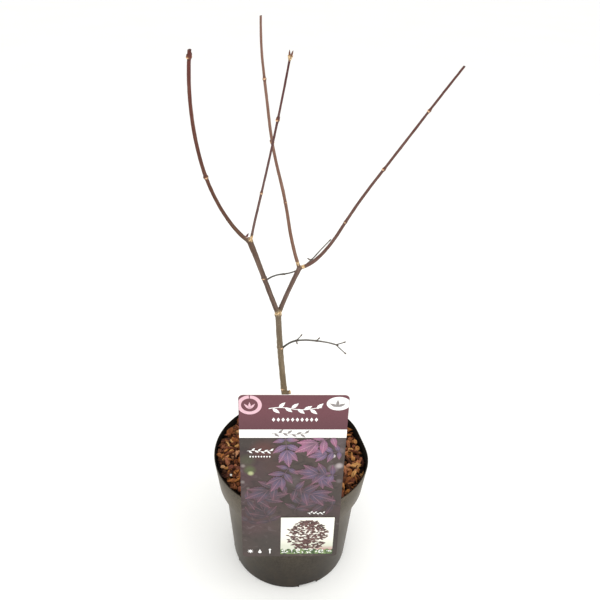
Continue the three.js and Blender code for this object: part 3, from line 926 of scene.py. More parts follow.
def grow(foot, limb):
    """Grows a limb's centre line from its foot by its headings."""
    count = math.ceil(limb["length"] / GROWTH_STEP)
    beside, above = limb.get("set", (0, 0))
    points = [foot + Vector((beside, 0, above))]
    for i in range(count):
        share = (i + 0.5) / count
        turn = limb.get("turn", 0) * math.exp(-share * limb["length"] / TURN_REACH)
        lean = math.radians(along(limb["lean"], share) + turn)
        fore = math.radians(along(limb["fore"], share))
        level = math.cos(fore)
        heading = Vector((math.sin(lean) * level, -math.sin(fore), math.cos(lean) * level))
        points.append(points[-1] + heading * (limb["length"] / count))
    return {**limb, "points": points}


def place_on(limb, distance):
    """The point, heading and cross directions at a distance along a limb."""
    points = limb["points"]
    place = distance / limb["length"] * (len(points) - 1)
    left = max(0, min(int(place), len(points) - 2))
    point = points[left].lerp(points[left + 1], place - left)
    heading = (points[left + 1] - points[left]).normalized()
    side = Vector((0, 1, 0)).cross(heading).normalized()
    return point, heading, side, heading.cross(side)


def radius_on(limb, distance):
    """Half the thickness at a distance, with the root flare and the swelling at the nodes."""
    radius = along(limb["thick"], distance / limb["length"]) / 2
    radius += limb.get("flare", 0) * math.exp(-distance / FLARE_REACH)
    for node, _, size in limb["nodes"]:
        radius *= 1 + NODE_SWELL * size * hill(distance - node, NODE_REACH)
    if "cup" in limb:
        radius *= 1 + (limb["cup"] - 1) * max(0, 1 - (limb["length"] - distance) / CUP_LENGTH)
    return radius


def tube(name, limb, start, end, sides, ring_step=RING_STEP, slant=0):
    """Draws a path along a limb, gives it a round bevel that follows its taper, and meshes it."""
    bpy.ops.object.select_all(action="DESELECT")
    bpy.ops.curve.primitive_bezier_curve_add()
    path = bpy.context.object
    path.name = name
    drawn = path.data
    drawn.splines.clear()
    drawn.dimensions = "3D"
    drawn.bevel_depth = MM
    drawn.bevel_resolution = (sides - 4) // 2
    drawn.use_fill_caps = True
    count = max(3, math.ceil((end - start) / ring_step))
    line = drawn.splines.new("POLY")
    line.points.add(count)
    for i, knot in enumerate(line.points):
        distance = start + (end - start) * i / count
        point, _, _, _ = place_on(limb, distance)
        knot.co = (*(point * MM), 1)
        knot.radius = radius_on(limb, distance)
    bpy.ops.object.convert(target="MESH")
    piece = bpy.context.object
    bpy.ops.object.mode_set(mode="EDIT")
    bpy.ops.mesh.select_all(action="SELECT")
    bpy.ops.mesh.remove_doubles(threshold=DOUBLED * MM)
    face_outward()
    if slant:
        tip, heading, side, _ = place_on(limb, end)
        for vertex in piece.data.vertices:
            past = (vertex.co / MM - tip).dot(heading) + 0.05
            if past > 0:
                vertex.co += heading * slant * (vertex.co / MM - tip).dot(side) * MM
    piece.data.materials.clear()
    return piece


def dressed(piece, lines, ridge, lump, seed, forks=(), ring=1.0):
    """Raises bark on a limb, and keeps its straightened place, its scars with a painted shade below each
    node, and how old it is.
    """
    spots = []
    for limb, start, end in lines:
        spots += [(limb, half / 2) for half in range(int(start * 2), int(end * 2) + 1)]
    tree = KDTree(len(spots))
    for i, (limb, distance) in enumerate(spots):
        tree.insert(place_on(limb, distance)[0], i)
    tree.balance()
    for label, kind in (("grain", "FLOAT_VECTOR"), ("scar", "FLOAT"), ("tone", "FLOAT")):
        piece.data.attributes.new(label, kind, "POINT")
    count = len(piece.data.vertices)
    moved, places = np.zeros((count, 3)), np.zeros((count, 3))
    scars, tones = np.zeros(count), np.zeros(count)
    first = lines[0][0]
    for i, vertex in enumerate(piece.data.vertices):
        here = vertex.co / MM
        _, number, _ = tree.find(here)
        limb, distance = spots[number]
        point, heading, side, back = place_on(limb, distance)
        distance += (here - point).dot(heading)
        outward = here - point - heading * (here - point).dot(heading)
        reach = outward.length
        outward.normalize()
        x, y = outward.dot(side), outward.dot(back)
        grain = Vector((GRAIN_ROUND * x, GRAIN_ROUND * y, GRAIN_ALONG * distance + seed))
        height = ridge * noise.noise(grain) + 0.4 * ridge * noise.noise(grain * 2.3)
        height += lump * noise.noise(Vector((x, y, LUMPS_ALONG * distance + seed)))
        scar = 0
        for node, twist, size in limb["nodes"]:
            away = distance - node + SCAR_UNEVEN * noise.noise(Vector((2 * x, 2 * y, node)))
            height += ring * (SCAR_RIDGE * hill(away, 0.4) - SCAR_GROOVE * hill(away - 0.9, 0.5))
            facing = (x * math.cos(math.radians(twist)) + y * math.sin(math.radians(twist))) ** 2
            depth = min(1, ring * (0.3 + size)) * (0.3 + 0.7 * facing)
            scar = max(scar, depth * hill(away, SCAR_REACH))
            # Under each node the bark is painted darker, a painted shade below the swelling.
            scar -= 0.7 * depth * hill(away + SHADE_BELOW, 0.7)
        if distance > limb["length"] - DEAD_TIP and "cup" not in limb:
            scar = -1
        for fork, size in forks:
            near = hill((here - fork).length, size)
            scar = max(scar, FORK_SCAR * near * (0.75 + noise.noise(here * 0.9)))
        height *= min(1, reach / MIDDLE_REACH)
        moved[i] = (here + outward * height) * MM
        places[i] = (reach * x, reach * y, distance)
        scars[i] = min(1, scar)
        tones[i] = distance / limb["length"] if limb is first else 1 + distance / LEG
    for target, label, values in (
        (piece.data.vertices, "co", moved),
        (piece.data.attributes["grain"].data, "vector", places),
        (piece.data.attributes["scar"].data, "value", scars),
        (piece.data.attributes["tone"].data, "value", tones),
    ):
        target.foreach_set(label, values.astype(np.float32).ravel())
    piece.data.update()
    return piece


def merged(name, pieces, voxel, soft_places):
    """Grows tubes and a fork together into one skin, and softens it where they meet."""
    whole = joined(name, pieces)
    applied(whole, "REMESH", mode="VOXEL", voxel_size=voxel * MM)
    soft = whole.vertex_groups.new(name="fork")
    for vertex in whole.data.vertices:
        nearest = min((vertex.co / MM - place).length / reach for place, reach in soft_places)
        soft.add([vertex.index], max(0.15, min(1, 1.6 - nearest)), "REPLACE")
    applied(whole, "SMOOTH", factor=0.5, iterations=8, vertex_group=soft.name)
    whole.vertex_groups.clear()
    return whole


def ball(centre, radius):
    """The swollen middle of a fork."""
    bpy.ops.object.select_all(action="DESELECT")
    size = {"segments": 24, "ring_count": 16, "radius": radius * MM}
    bpy.ops.mesh.primitive_uv_sphere_add(location=centre * MM, **size)
    return bpy.context.object


def end_of(limb):
    """The point at which a limb ends."""
    return place_on(limb, limb["length"])[0]


trunk = grow(FOOT, LIMBS["trunk"])
left_limb = grow(end_of(trunk), LIMBS["left_limb"])
right_limb = grow(end_of(trunk), LIMBS["right_limb"])
left_outer = grow(end_of(left_limb), LIMBS["left_outer"])
left_inner = grow(end_of(left_limb), LIMBS["left_inner"])
right_inner = grow(end_of(right_limb), LIMBS["right_inner"])
right_outer = grow(end_of(right_limb), LIMBS["right_outer"])

# Bark
# Smooth young bark that runs in fine lengthwise streaks. It is pale gold where a bud scale
# or a leaf has left its scar, and it changes colour from the older wood to the young tip.

bark, ins, outs = new_effect(
    "streaked bark",
    [
        ("Old", "Color", (0.2, 0.15, 0.1, 1)),
        ("Young", "Color", (0.2, 0.1, 0.08, 1)),
        ("Next", "Color", (0.2, 0.1, 0.08, 1)),
        ("Streak", "Color", (0.1, 0.06, 0.05, 1)),
        ("Bloom", "Color", (0.5, 0.4, 0.3, 1)),
        ("Streaks", "Float", 0.6),
        ("Scale", "Float", 1.0),
    ],
    [("Color", "Color"), ("Height", "Float"), ("Roughness", "Float")],
)
tone = kept(bark, "tone")
scar = kept(bark, "scar")
grain = kept(bark, "grain", "Vector")
scaled = add(bark, "VectorMath", {0: grain, 3: ins["Scale"]}, operation="SCALE").outputs[0]
stretched = add(bark, "Mapping", {"Vector": scaled, "Scale": (1, 1, 0.06)}).outputs[0]
fine = noisy(bark, stretched, 1.5, 5, Roughness=0.6)
broad = noisy(bark, stretched, 0.45)
pores = add(bark, "TexVoronoi", {"Vector": scaled, "Scale": 0.42}).outputs["Distance"]
golden = mixed(bark, spread(bark, noisy(bark, scaled, 1.2, 3), 0.42, 0.6), "f3d9ab", "b88c58")
lines = worked_out(bark, "MULTIPLY", spread(bark, fine, 0.42, 0.64), ins["Streaks"])
wood = mixed(bark, spread(bark, tone, 0, 1), ins["Old"], ins["Young"])
for share, colour in (
    (spread(bark, tone, 1.1, 2), ins["Next"]),
    (lines, ins["Streak"]),
    (spread(bark, broad, 0.5, 0.75, 0, 0.3), ins["Bloom"]),
    (spread(bark, pores, 0.08, 0.16, 0.5, 0), ins["Bloom"]),
    # Below nought the scar value gives the streak colour: the painted shade under each node, and the dark
    # dead tip.
    (spread(bark, scar, -0.5, -0.1, 0.8, 0), ins["Streak"]),
    (spread(bark, scar, 0.25, 0.8, 0, 0.92), golden),
):
    wood = mixed(bark, share, wood, colour)
bark.links.new(wood, outs["Color"])
bark.links.new(fine, outs["Height"])
bark.links.new(spread(bark, scar, 0, 1, 0.55, 0.8), outs["Roughness"])


def bark_finish(name, old, young, after, streak, bloom, streaks=0.55, scale=1.0, depth=0.25):
    """The bark of one limb, from the colour of its foot to that of its tip, with a pale bloom."""
    made, tree, shader = new_finish(name, Specular_IOR_Level=0.2)
    colours = {"Old": old, "Young": young, "Next": after, "Streak": streak, "Bloom": bloom}
    surface = place_effect(tree, bark, {**colours, "Streaks": streaks, "Scale": scale})
    surfaced(tree, shader, surface["Color"], surface["Height"], depth)
    tree.links.new(surface["Roughness"], shader["Roughness"])
    return made


def finished(piece, material, node):
    """Gives a limb its bark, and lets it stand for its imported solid."""
    coated(piece, material)
    smoothed(piece, BARK_CREASE)
    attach(piece, "root")
    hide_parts(node)


STUB_PLACE = 109
STUB_RADIUS = 2.1
STUB_LENGTH = 7.6
STUB_SLOPE = 74
FORK_SWELL = 1.26
LIMB_FORK_SWELL = 1.1

point, heading, side, _ = place_on(trunk, STUB_PLACE)
slope = math.radians(STUB_SLOPE)
stub_heading = heading * math.cos(slope) + side * math.sin(slope)
cut_end = point + stub_heading * STUB_LENGTH
stub = {
    "length": STUB_LENGTH,
    "thick": [2.4 * STUB_RADIUS, 2 * STUB_RADIUS],
    "nodes": [],
    "points": [point, cut_end],
}
fork = end_of(trunk)
trunk_piece = merged(
    "trunk_bark",
    [
        tube("trunk_bark", trunk, 0, trunk["length"], TRUNK_SIDES),
        tube("stub", stub, 0, STUB_LENGTH, LIMB_SIDES),
        ball(fork, radius_on(trunk, trunk["length"]) * FORK_SWELL),
        tube("left_leg", left_limb, 0, LEG + LEG_OVERLAP, LIMB_SIDES),
        tube("right_leg", right_limb, 0, LEG + LEG_OVERLAP, LIMB_SIDES),
    ],
    TRUNK_SKIN,
    [(fork, 4.5), (point + stub_heading * 2, 4)],
)
trunk_lines = [(trunk, 0, trunk["length"]), (stub, 3.5, 6.5)]
trunk_lines += [(limb, LEG_START, LEG) for limb in (left_limb, right_limb)]
collars = [(place_on(limb, 2.8)[0], 3.8) for limb in (left_limb, right_limb)]
dressed(trunk_piece, trunk_lines, 0.22, 0.3, 3, [*collars, (cut_end, 2.6)], ring=1.4)
trunk_colours = ("83704e", "746655", "62503f", "4d4030", "b9a890")
trunk_bark = bark_finish("olive stem bark", *trunk_colours, scale=0.8, depth=0.4)
finished(trunk_piece, trunk_bark, "trunk")

left_collars = [(end_of(left_limb) + Vector((0.8, -1, 1.4)), 2.6), (place_on(left_inner, 4)[0], 2.3)]
right_collars = [
    (place_on(right_inner, 6.2)[0], 2.7),
    (place_on(right_outer, 4.6)[0] + Vector((0, 0, 0.8)), 2.6),
]
for name, limb, children, collars, (old, young, after) in (
    ("left_limb", left_limb, (left_outer, left_inner), left_collars, ("5c4a41", "614c3f", "5c4632")),
    ("right_limb", right_limb, (right_inner, right_outer), right_collars, ("614d44", "6b554c", "74583f")),
):
    fork = end_of(limb)
    limb_piece = merged(
        name + "_bark",
        [
            tube(name + "_bark", limb, LIMB_START, limb["length"], LIMB_SIDES),
            ball(fork, radius_on(limb, limb["length"]) * LIMB_FORK_SWELL),
            *[tube("leg", child, 0, LEG + LEG_OVERLAP, LIMB_SIDES) for child in children],
        ],
        LIMB_SKIN,
        [(fork, 4)],
    )
    limb_lines = [(limb, DRESS_START, limb["length"])]
    limb_lines += [(child, LEG_START, LEG) for child in children]
    dressed(limb_piece, limb_lines, 0.18, 0.2, 8 if name == "left_limb" else 15, collars)
    limb_colours = (old, young, after, "3a2d25", "a3897a")
    limb_bark = bark_finish(name.replace("_", " ") + " bark", *limb_colours, scale=1.1)
    finished(limb_piece, limb_bark, name)

SHOOTS = [
    ("left_outer_shoot", left_outer, ("573e2e", "63302a", "3c211b", "93705c"), 0.35),
    ("left_inner_shoot", left_inner, ("725b55", "4a1a1e", "341a1b", "85605c"), 0.1),
    ("right_inner_shoot", right_inner, ("765545", "7f5d50", "5a4034", "ab9080"), 0.2),
    ("right_outer_shoot", right_outer, ("6a4f46", "603b36", "41271f", "8f7166"), 0.3),
]
for i, (name, limb, (old, young, streak, bloom), slant) in enumerate(SHOOTS):
    shoot = tube(name + "_bark", limb, LIMB_START, limb["length"], LIMB_SIDES, slant=slant)
    tip_scar = [(place_on(limb, limb["length"] - 0.8)[0], 3.6)] if "cup" in limb else []
    dressed(shoot, [(limb, DRESS_START, limb["length"])], 0.12, 0.1, 21 + 5 * i, tip_scar)
    shoot_colours = (old, young, young, streak, bloom)
    shoot_bark = bark_finish(name.replace("_", " ") + " bark", *shoot_colours, scale=1.4)
    finished(shoot, shoot_bark, name)

# Buds
# Pointed winter buds pressed to the stem in pairs at the nodes: a brown core in two overlapping
# scales, with the pale scar of a leaf beside them. One bud is modelled, and copied to its places.

BUD_OUTLINE = [(0, 0), (0.7, 0.03), (1, 0.27), (0.93, 0.5), (0.62, 0.76), (0.26, 0.94), (0, 1)]
BUD = {"length": 2.9, "radius": 0.9, "slope": 13}
END_BUD = {"length": 5.7, "radius": 0.95, "slope": 11}
DEAD_BUD = {"length": 6.2, "radius": 1.25, "slope": 72}
DEAD_BUD_PLACE = 5.3
BUD_SIDES = 12
SCALE_SIDES = 8
SCALE_SWEEP = 168
SCALE_THICKNESS = 0.1
SCAR_SUNK = 0.05

bud_core = spun("bud_core", [(0.92 * wide, high) for wide, high in BUD_OUTLINE], BUD_SIDES)
bud_scales = []
for turn in (0, math.pi):
    scale_outline = [(1.06 * wide, 0.8 * high) for wide, high in BUD_OUTLINE[1:-1]]
    scale = spun("bud_scale", scale_outline, SCALE_SIDES, SCALE_SWEEP)
    for vertex in scale.data.vertices:
        turned = math.degrees(math.atan2(abs(vertex.co.y), vertex.co.x))
        away = abs(turned - SCALE_SWEEP / 2) / (SCALE_SWEEP / 2)
        vertex.co.z *= 1 - 0.4 * away**1.5
    scale.rotation_euler.z = turn
    fix_place(scale)
    applied(scale, "SOLIDIFY", thickness=SCALE_THICKNESS * MM, offset=-1)
    bud_scales.append(scale)
bud_shape = joined("bud_shape", [bud_core, *bud_scales])
smoothed(grained(bud_shape), 45)


def scaly(name, dark, light, base, tip):
    """The finish of bud scales, speckled, pale at the base and dark at the tip."""
    made, tree, shader = new_finish(name, Roughness=0.55, Specular_IOR_Level=0.3)
    grain = kept(tree, "grain", "Vector")
    rise = axes(tree, grain)["Z"]
    speckle = noisy(tree, grain, 2.2, 3)
    scales = mixed(tree, spread(tree, speckle, 0.35, 0.65), dark, light)
    scales = mixed(tree, spread(tree, rise, 0.1, 0.4, 1, 0), scales, base)
    scales = mixed(tree, spread(tree, rise, 0.7, 1, 0, 0.8), scales, tip)
    surfaced(tree, shader, scales, speckle, 0.1)
    return made


coated(bud_shape, scaly("winter bud scales", "4c281d", "774a35", "86583c", "2e1914"))

leaf_scar = ball(Vector((0, 0, 0)), 1)
leaf_scar.scale = (0.85, 0.42, 0.3)
fix_place(leaf_scar)
for vertex in leaf_scar.data.vertices:
    vertex.co.y += 0.5 * vertex.co.x**2 / MM
bpy.ops.object.shade_smooth()
scar_finish, tree, shader = new_finish("pale leaf scar", Roughness=0.8, Specular_IOR_Level=0.25)
speckle = noisy(tree, own_place(tree), 2400, 3)
corky = mixed(tree, spread(tree, speckle, 0.35, 0.65), "f2d0ac", "cc9f78")
surfaced(tree, shader, corky, speckle, 0.1)
coated(leaf_scar, scar_finish)


def facing(limb, distance, twist):
    """The point on a limb's middle, its heading there, and the way out at a twist round it."""
    point, heading, side, back = place_on(limb, distance)
    outward = side * math.cos(math.radians(twist)) + back * math.sin(math.radians(twist))
    return point, heading, outward


def bud_on(limb, distance, twist, bud, sunk=0.7, size=1):
    """A bud on a limb: its slope is measured from the limb's heading, its twist round it."""
    point, heading, outward = facing(limb, distance, twist)
    slope = math.radians(bud["slope"])
    direction = heading * math.cos(slope) + outward * math.sin(slope)
    seat = point + outward * radius_on(limb, distance) * sunk
    turned = Vector((0, 0, 1)).rotation_difference(direction).to_matrix().to_4x4()
    width = bud["radius"] * size
    sized = Matrix.Diagonal((width, width, bud["length"] * size, 1))
    return copied(bud_shape, Matrix.Translation(seat * MM) @ turned @ sized)


def scar_on(limb, distance, twist, size=1):
    """The pale scar of a fallen leaf, a crescent that lies across a limb."""
    point, heading, outward = facing(limb, distance, twist)
    turned = Matrix((heading.cross(outward), heading, outward)).transposed().to_4x4()
    seat = Matrix.Translation((point + outward * (radius_on(limb, distance) - SCAR_SUNK)) * MM)
    return copied(leaf_scar, seat @ turned @ Matrix.Scale(size, 4))


def added_to(name, pieces):
    """Joins buds and scars to the bark that they sit on."""
    joined(name, [bpy.data.objects[name], *pieces])


def budded(name, limb, extra=()):
    """Joins the pairs of buds at its nodes to a limb, each above the scar of its leaf."""
    pieces = [*extra]
    for node, twist, size in limb["nodes"]:
        for turn in (twist, twist + 180):
            pieces.append(bud_on(limb, node + 0.2, turn, BUD, size=0.3 + 0.7 * size))
            pieces.append(scar_on(limb, node - 0.5, turn, 0.7 + 0.8 * size))
    added_to(name, pieces)


left_tip = left_inner["length"] - 1
tip_buds = [bud_on(left_inner, left_tip, twist, END_BUD, 0.3) for twist in (20, 200)]
budded("left_outer_shoot_bark", left_outer)
budded("left_inner_shoot_bark", left_inner, tip_buds)
budded("right_inner_shoot_bark", right_inner)
budded("right_outer_shoot_bark", right_outer)
dead_bud = bud_on(left_outer, DEAD_BUD_PLACE, 0, DEAD_BUD, 0.5)
dead_bud.data.materials[0] = scaly("dead bud scales", "4a2028", "5d2f33", "d8b3a5", "331a22")
added_to("left_limb_bark", [dead_bud, scar_on(left_limb, 50.6, 262, 1.3)])
added_to("trunk_bark", [scar_on(trunk, 117.6, 245, 1.8), scar_on(trunk, 175.6, 302, 1.7)])

# Side twigs
# Thin grey side twigs with tiny sprigs, grown by the same rule from the stem and from the
# left limb. A sprig is its place on the twig, its lean and its length.

TWIGS = {
    "low_twigs": {
        "at": 171.5,
        "length": 70.4,
        "lean": [31.5, 46, 76.5, 87.5, 93, 104.5],
        "fore": [9, 8.5],
        "thick": [2.3, 1.6],
        "nodes": [(25, 0, 0.6), (47.5, 0, 0.6)],
        "sprigs": [(25, 34, 10), (25, 168, 2.6), (47.5, 38, 4.5), (69.5, 64, 10), (69.5, 134, 14)],
    },
    "cross_twigs": {
        "at": 46.5,
        "length": 86.8,
        "lean": [67.5, 102, 59, 39.5, 43],
        "fore": [-44, -15, -7.5],
        "thick": [1.8, 1.3],
        "nodes": [(23, 70, 0.6), (57.3, 0, 0.6)],
        "sprigs": [(57.3, -62, 2.4), (57.3, 98, 2.8)],
    },
}
SPRIG_THICK = [1.3, 1.1]
TWIG_BUD = {"length": 3.2, "radius": 0.85, "slope": 0}
SIDE_BUD = {"length": 2, "radius": 0.6, "slope": 25}
TWIG_SIDES = 10
TWIG_RING_STEP = 0.7

bud_shape.data.materials[0] = scaly("grey twig bud scales", "42352f", "5d4c42", "7d6a58", "2b211d")
twig_colours = ("474541", "6e6862", "6e6862", "35312e", "8f8a80")
twig_bark = bark_finish("grey twig bark", *twig_colours, streaks=0.45, scale=2.2, depth=0.15)
for name, parent in (("low_twigs", trunk), ("cross_twigs", left_limb)):
    twig = TWIGS[name]
    stem = grow(place_on(parent, twig["at"])[0], twig)
    start = radius_on(parent, twig["at"]) * 0.8
    stem_piece = tube(name + "_bark", stem, start, stem["length"], TWIG_SIDES, TWIG_RING_STEP)
    dressed(stem_piece, [(stem, start, stem["length"])], 0.08, 0.1, 50, ring=0.3)
    pieces = [stem_piece]
    tips = [stem]
    for distance, lean, length in twig["sprigs"]:
        headings = {"length": length, "lean": [lean, lean - 4], "fore": twig["fore"], "nodes": []}
        sprig = grow(place_on(stem, distance)[0], {**headings, "thick": SPRIG_THICK})
        sprig_piece = tube("sprig", sprig, 0, length, TWIG_SIDES, TWIG_RING_STEP)
        pieces.append(dressed(sprig_piece, [(sprig, 0, length)], 0.04, 0.06, 60 + distance))
        tips.append(sprig)
    for piece in pieces:
        coated(piece, twig_bark)
    for tip in tips:
        pieces.append(bud_on(tip, tip["length"] - 0.8, 0, TWIG_BUD, 0))
    for node, twist, _ in twig["nodes"]:
        pieces += [bud_on(stem, node, twist + turn, SIDE_BUD) for turn in (20, 200)]
    whole = joined(name + "_bark", pieces)
    smoothed(whole, 50)
    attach(whole, "root")
    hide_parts(name)
bpy.data.objects.remove(bud_shape)
bpy.data.objects.remove(leaf_scar)

# Picture card
# A printed card that stands in front of the pot: a sheet with rounded corners, in a plum
# header, a white band and a dark picture, with thin raised ink for all that is drawn on it.

CARD_WIDTH = 110
CARD_LOW = 92.5
CARD_HIGH = 336.5
CARD_CORNER = 5
CORNER_STEPS = 8
CARD_THICKNESS = 0.6
CARD_FACE = -98
CARD_TURN = 2.6
CARD_ACROSS = -2.7
HEADER_LOW = 291.2
BAND_LOW = 280
HEADER_FADE = 22
INK = 0.04
INK_STEP = 0.01
PRINT_MARGIN = 0.3
SCREEN = 900

card_turned = Matrix.Rotation(math.radians(CARD_TURN), 4, "Z")
card_placed = card_turned @ Matrix.Translation((CARD_ACROSS * MM, 0, 0))
card_middle = (CARD_LOW + CARD_HIGH) / 2

bpy.ops.object.select_all(action="DESELECT")
bpy.ops.mesh.primitive_plane_add(size=MM)
card = bpy.context.object
card.scale = (CARD_WIDTH, CARD_HIGH - CARD_LOW, 1)
card.rotation_euler.x = math.radians(90)
card.location = (0, CARD_FACE * MM, card_middle * MM)
fix_place(card)
bpy.ops.object.mode_set(mode="EDIT")
bpy.ops.mesh.select_all(action="SELECT")
bpy.ops.mesh.bevel(offset=CARD_CORNER * MM, segments=CORNER_STEPS, affect="VERTICES")
for height in (HEADER_LOW, BAND_LOW):
    bpy.ops.mesh.select_all(action="SELECT")
    bpy.ops.mesh.bisect(plane_co=(0, CARD_FACE * MM, height * MM), plane_no=(0, 0, 1))
bpy.ops.object.mode_set(mode="OBJECT")


def printed(name):
    """A printed finish: ink on smooth card with a thin gloss."""
    material, tree, shader = new_finish(name, Roughness=0.42, Specular_IOR_Level=0.3)
    return material, tree, shader, own_place(tree)


def inked(name, dark, light, low=0, high=1, scale=SCREEN, detail=2):
    """A print in one ink, that varies with the screen it was printed through."""
    material, tree, shader, place = printed(name)
    surfaced(tree, shader, speckled(tree, place, scale, dark, light, low, high, detail))
    return material


white_print = inked("white print", "f6f4f1", "fdfcfa", 0.3, 0.7)
card_core = inked("white card core", "d8d2cc", "f2efea", scale=3000)

plum_print, tree, shader, place = printed("plum print")
plum = speckled(tree, place, SCREEN, "653b42", "6c4149", 0.3, 0.7)
rise = axes(tree, place)["Z"]
fading = spread(tree, rise, HEADER_LOW * MM, (HEADER_LOW + HEADER_FADE) * MM, 0.6, 0)
surfaced(tree, shader, mixed(tree, fading, plum, "56333a"))

dusk_print, tree, shader, place = printed("dusky picture print")
dusk = mixed(tree, spread(tree, noisy(tree, place, 14, 4, Roughness=0.6), 0.3, 0.7), "352f2a", "4f423e")
for scale, detail, slice_of_noise, low, high, most, colour in (
    (9, 2, 1.0, 0.52, 0.72, 0.7, "573640"),
    (26, 1, 4.0, 0.6, 0.74, 0.4, "6f6468"),
):
    inputs = {"Vector": place, "Scale": scale, "Detail": detail, "W": slice_of_noise}
    cloud = add(tree, "TexNoise", inputs, noise_dimensions="4D").outputs[0]
    dusk = mixed(tree, spread(tree, cloud, low, high, 0, most), dusk, colour)
twiggy = noisy(tree, place, 75, 5, Distortion=1.2)
dusk = mixed(tree, spread(tree, twiggy, 0.3, 0.46, 0.6, 0), dusk, "2b2523")
dusk = mixed(tree, spread(tree, twiggy, 0.6, 0.74, 0, 0.45), dusk, "7b6d70")
# Out-of-focus greenery and lights: x, z, radius, share, colour
GLOWS = [
    (-30, 262, 17, 0.8, "5c3a35"), (-20, 240, 14, 0.6, "4c3533"), (-48, 248, 11, 0.7, "4a4c37"),
    (-45, 234, 8, 0.8, "56603c"), (-44, 229, 4, 0.8, "b9bf8c"), (-52, 240, 3, 0.6, "9a908b"),
    (-53, 216, 3, 0.6, "8f8783"), (-47, 206, 2.5, 0.5, "857c76"), (43, 254, 3, 0.9, "e6dcdc"),
    (50, 262, 5, 0.5, "87797b"), (44, 236, 7, 0.6, "8f8288"), (50, 240, 5, 0.8, "b5aaaa"),
    (41, 224, 4, 0.6, "8d8472"), (51, 217, 4, 0.5, "7f7376"), (-6, 273, 6, 0.4, "68644c"),
    (-25, 120, 24, 0.5, "3c3733"), (42, 190, 20, 0.4, "3f3a37"),
]
for x, z, radius, share, colour in GLOWS:
    middle = card_placed @ (Vector((x, CARD_FACE, z)) * MM)
    away = add(tree, "VectorMath", {0: place, 1: middle}, operation="DISTANCE").outputs["Value"]
    dusk = mixed(tree, spread(tree, away, 0.35 * radius * MM, radius * MM, share, 0), dusk, colour)
surfaced(tree, shader, dusk)

coated(card, plum_print, white_print, dusk_print, card_core)
for face in card.data.polygons:
    height = face.center.z / MM
    face.material_index = 0 if height > HEADER_LOW else 1 if height > BAND_LOW else 2
core = {"use_rim": True, "material_offset": 3, "material_offset_rim": 3}
applied(card, "SOLIDIFY", thickness=CARD_THICKNESS * MM, offset=-1, **core)
card.name = "picture_card"
card.data.transform(card_placed)
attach(card, "root")
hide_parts("label_card")


def flat(name, outline, level=0):
    """A thin raised shape of ink, from an outline of (across, up) on the card's face."""
    bpy.ops.object.select_all(action="DESELECT")
    bpy.ops.mesh.primitive_circle_add(vertices=len(outline), radius=MM, fill_type="NGON")
    piece = bpy.context.object
    piece.name = name
    for vertex, (x, z) in zip(piece.data.vertices, outline):
        vertex.co = Vector((x, CARD_FACE - INK - INK_STEP * level, z)) * MM
    face_outward()
    bpy.ops.object.mode_set(mode="EDIT")
    bpy.ops.mesh.extrude_region_move(TRANSFORM_OT_translate={"value": (0, INK * MM, 0)})
    face_outward()
    return toned(piece, 0)


def disc(x, z, radius, level=0, count=24, squash=1):
    """A round shape of ink."""
    angles = [2 * math.pi * i / count for i in range(count)]
    outline = [(radius * math.cos(angle), squash * radius * math.sin(angle)) for angle in angles]
    return flat("disc", turned_outline(outline, x, z, 0), level)


def leaflet(length, width, steps=7):
    """The outline of a pointed leaflet with saw teeth, along +X from the origin."""
    upper = []
    for i in range(1, steps * 2):
        share = i / (steps * 2)
        half = width / 2 * math.sin(math.pi * share**0.8) * (1 if i % 2 else 0.8)
        upper.append((length * share, half))
    lower = [(x, -y) for x, y in reversed(upper)]
    return [(0, 0), *upper, (length, 0), *lower]


def turned_outline(outline, x, z, angle, size=1):
    """Turns and moves an outline on the card."""
    c, s = math.cos(math.radians(angle)) * size, math.sin(math.radians(angle)) * size
    return [(x + c * u - s * v, z + s * u + c * v) for u, v in outline]


def in_print(name, pieces, material, top=CARD_HIGH - PRINT_MARGIN):
    """Joins shapes of ink, trims them to the card, and gives them their print."""
    whole = joined(name, pieces)
    bpy.ops.object.mode_set(mode="EDIT")
    for way in (-1, 1):
        bpy.ops.mesh.select_all(action="SELECT")
        edge = (way * (CARD_WIDTH / 2 - PRINT_MARGIN) * MM, 0, 0)
        bpy.ops.mesh.bisect(plane_co=edge, plane_no=(way, 0, 0), use_fill=True, clear_outer=True)
    bpy.ops.mesh.select_all(action="SELECT")
    bpy.ops.mesh.bisect(plane_co=(0, 0, top * MM), plane_no=(0, 0, 1), use_fill=True, clear_outer=True)
    bpy.ops.object.mode_set(mode="OBJECT")
    coated(whole, material)
    whole.data.transform(card_placed)
    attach(whole, "root")


# Sprigs of broad pointed leaflets. One leaflet is drawn, a sprig is made of seven, each at
# its place on the stalk, direction and size, and the picture is made of copies of the sprig:
# x, z, direction in degrees, size, and tone from dusky to pink.
SPRIG_LEAFLETS = [
    (4, 78, 0.7),
    (4, -78, 0.7),
    (12, 56, 0.9),
    (12, -56, 0.9),
    (19, 30, 1),
    (19, -30, 1),
    (22, 0, 1.1),
]
SPRIGS = [
    (-50, 150, 58, 1.05, 0.08),
    (-22, 150, 112, 1.1, 0.14),
    (50, 178, 168, 1.15, 0.16),
    (-52, 186, 14, 1.15, 0.26),
    (4, 170, 68, 1.1, 0.22),
    (-6, 214, -152, 1.15, 0.3),
    (0, 206, -22, 1.2, 0.36),
    (20, 236, -50, 0.9, 0.42),
    (-2, 240, -118, 1, 0.52),
    (48, 226, 172, 1.05, 0.5),
    (-8, 282, -84, 1, 0.72),
    (52, 262, -166, 0.85, 0.66),
    (44, 284, -150, 1.1, 0.95),
]

leaflet_shape = grained(flat("leaflet", leaflet(20, 9.6)))


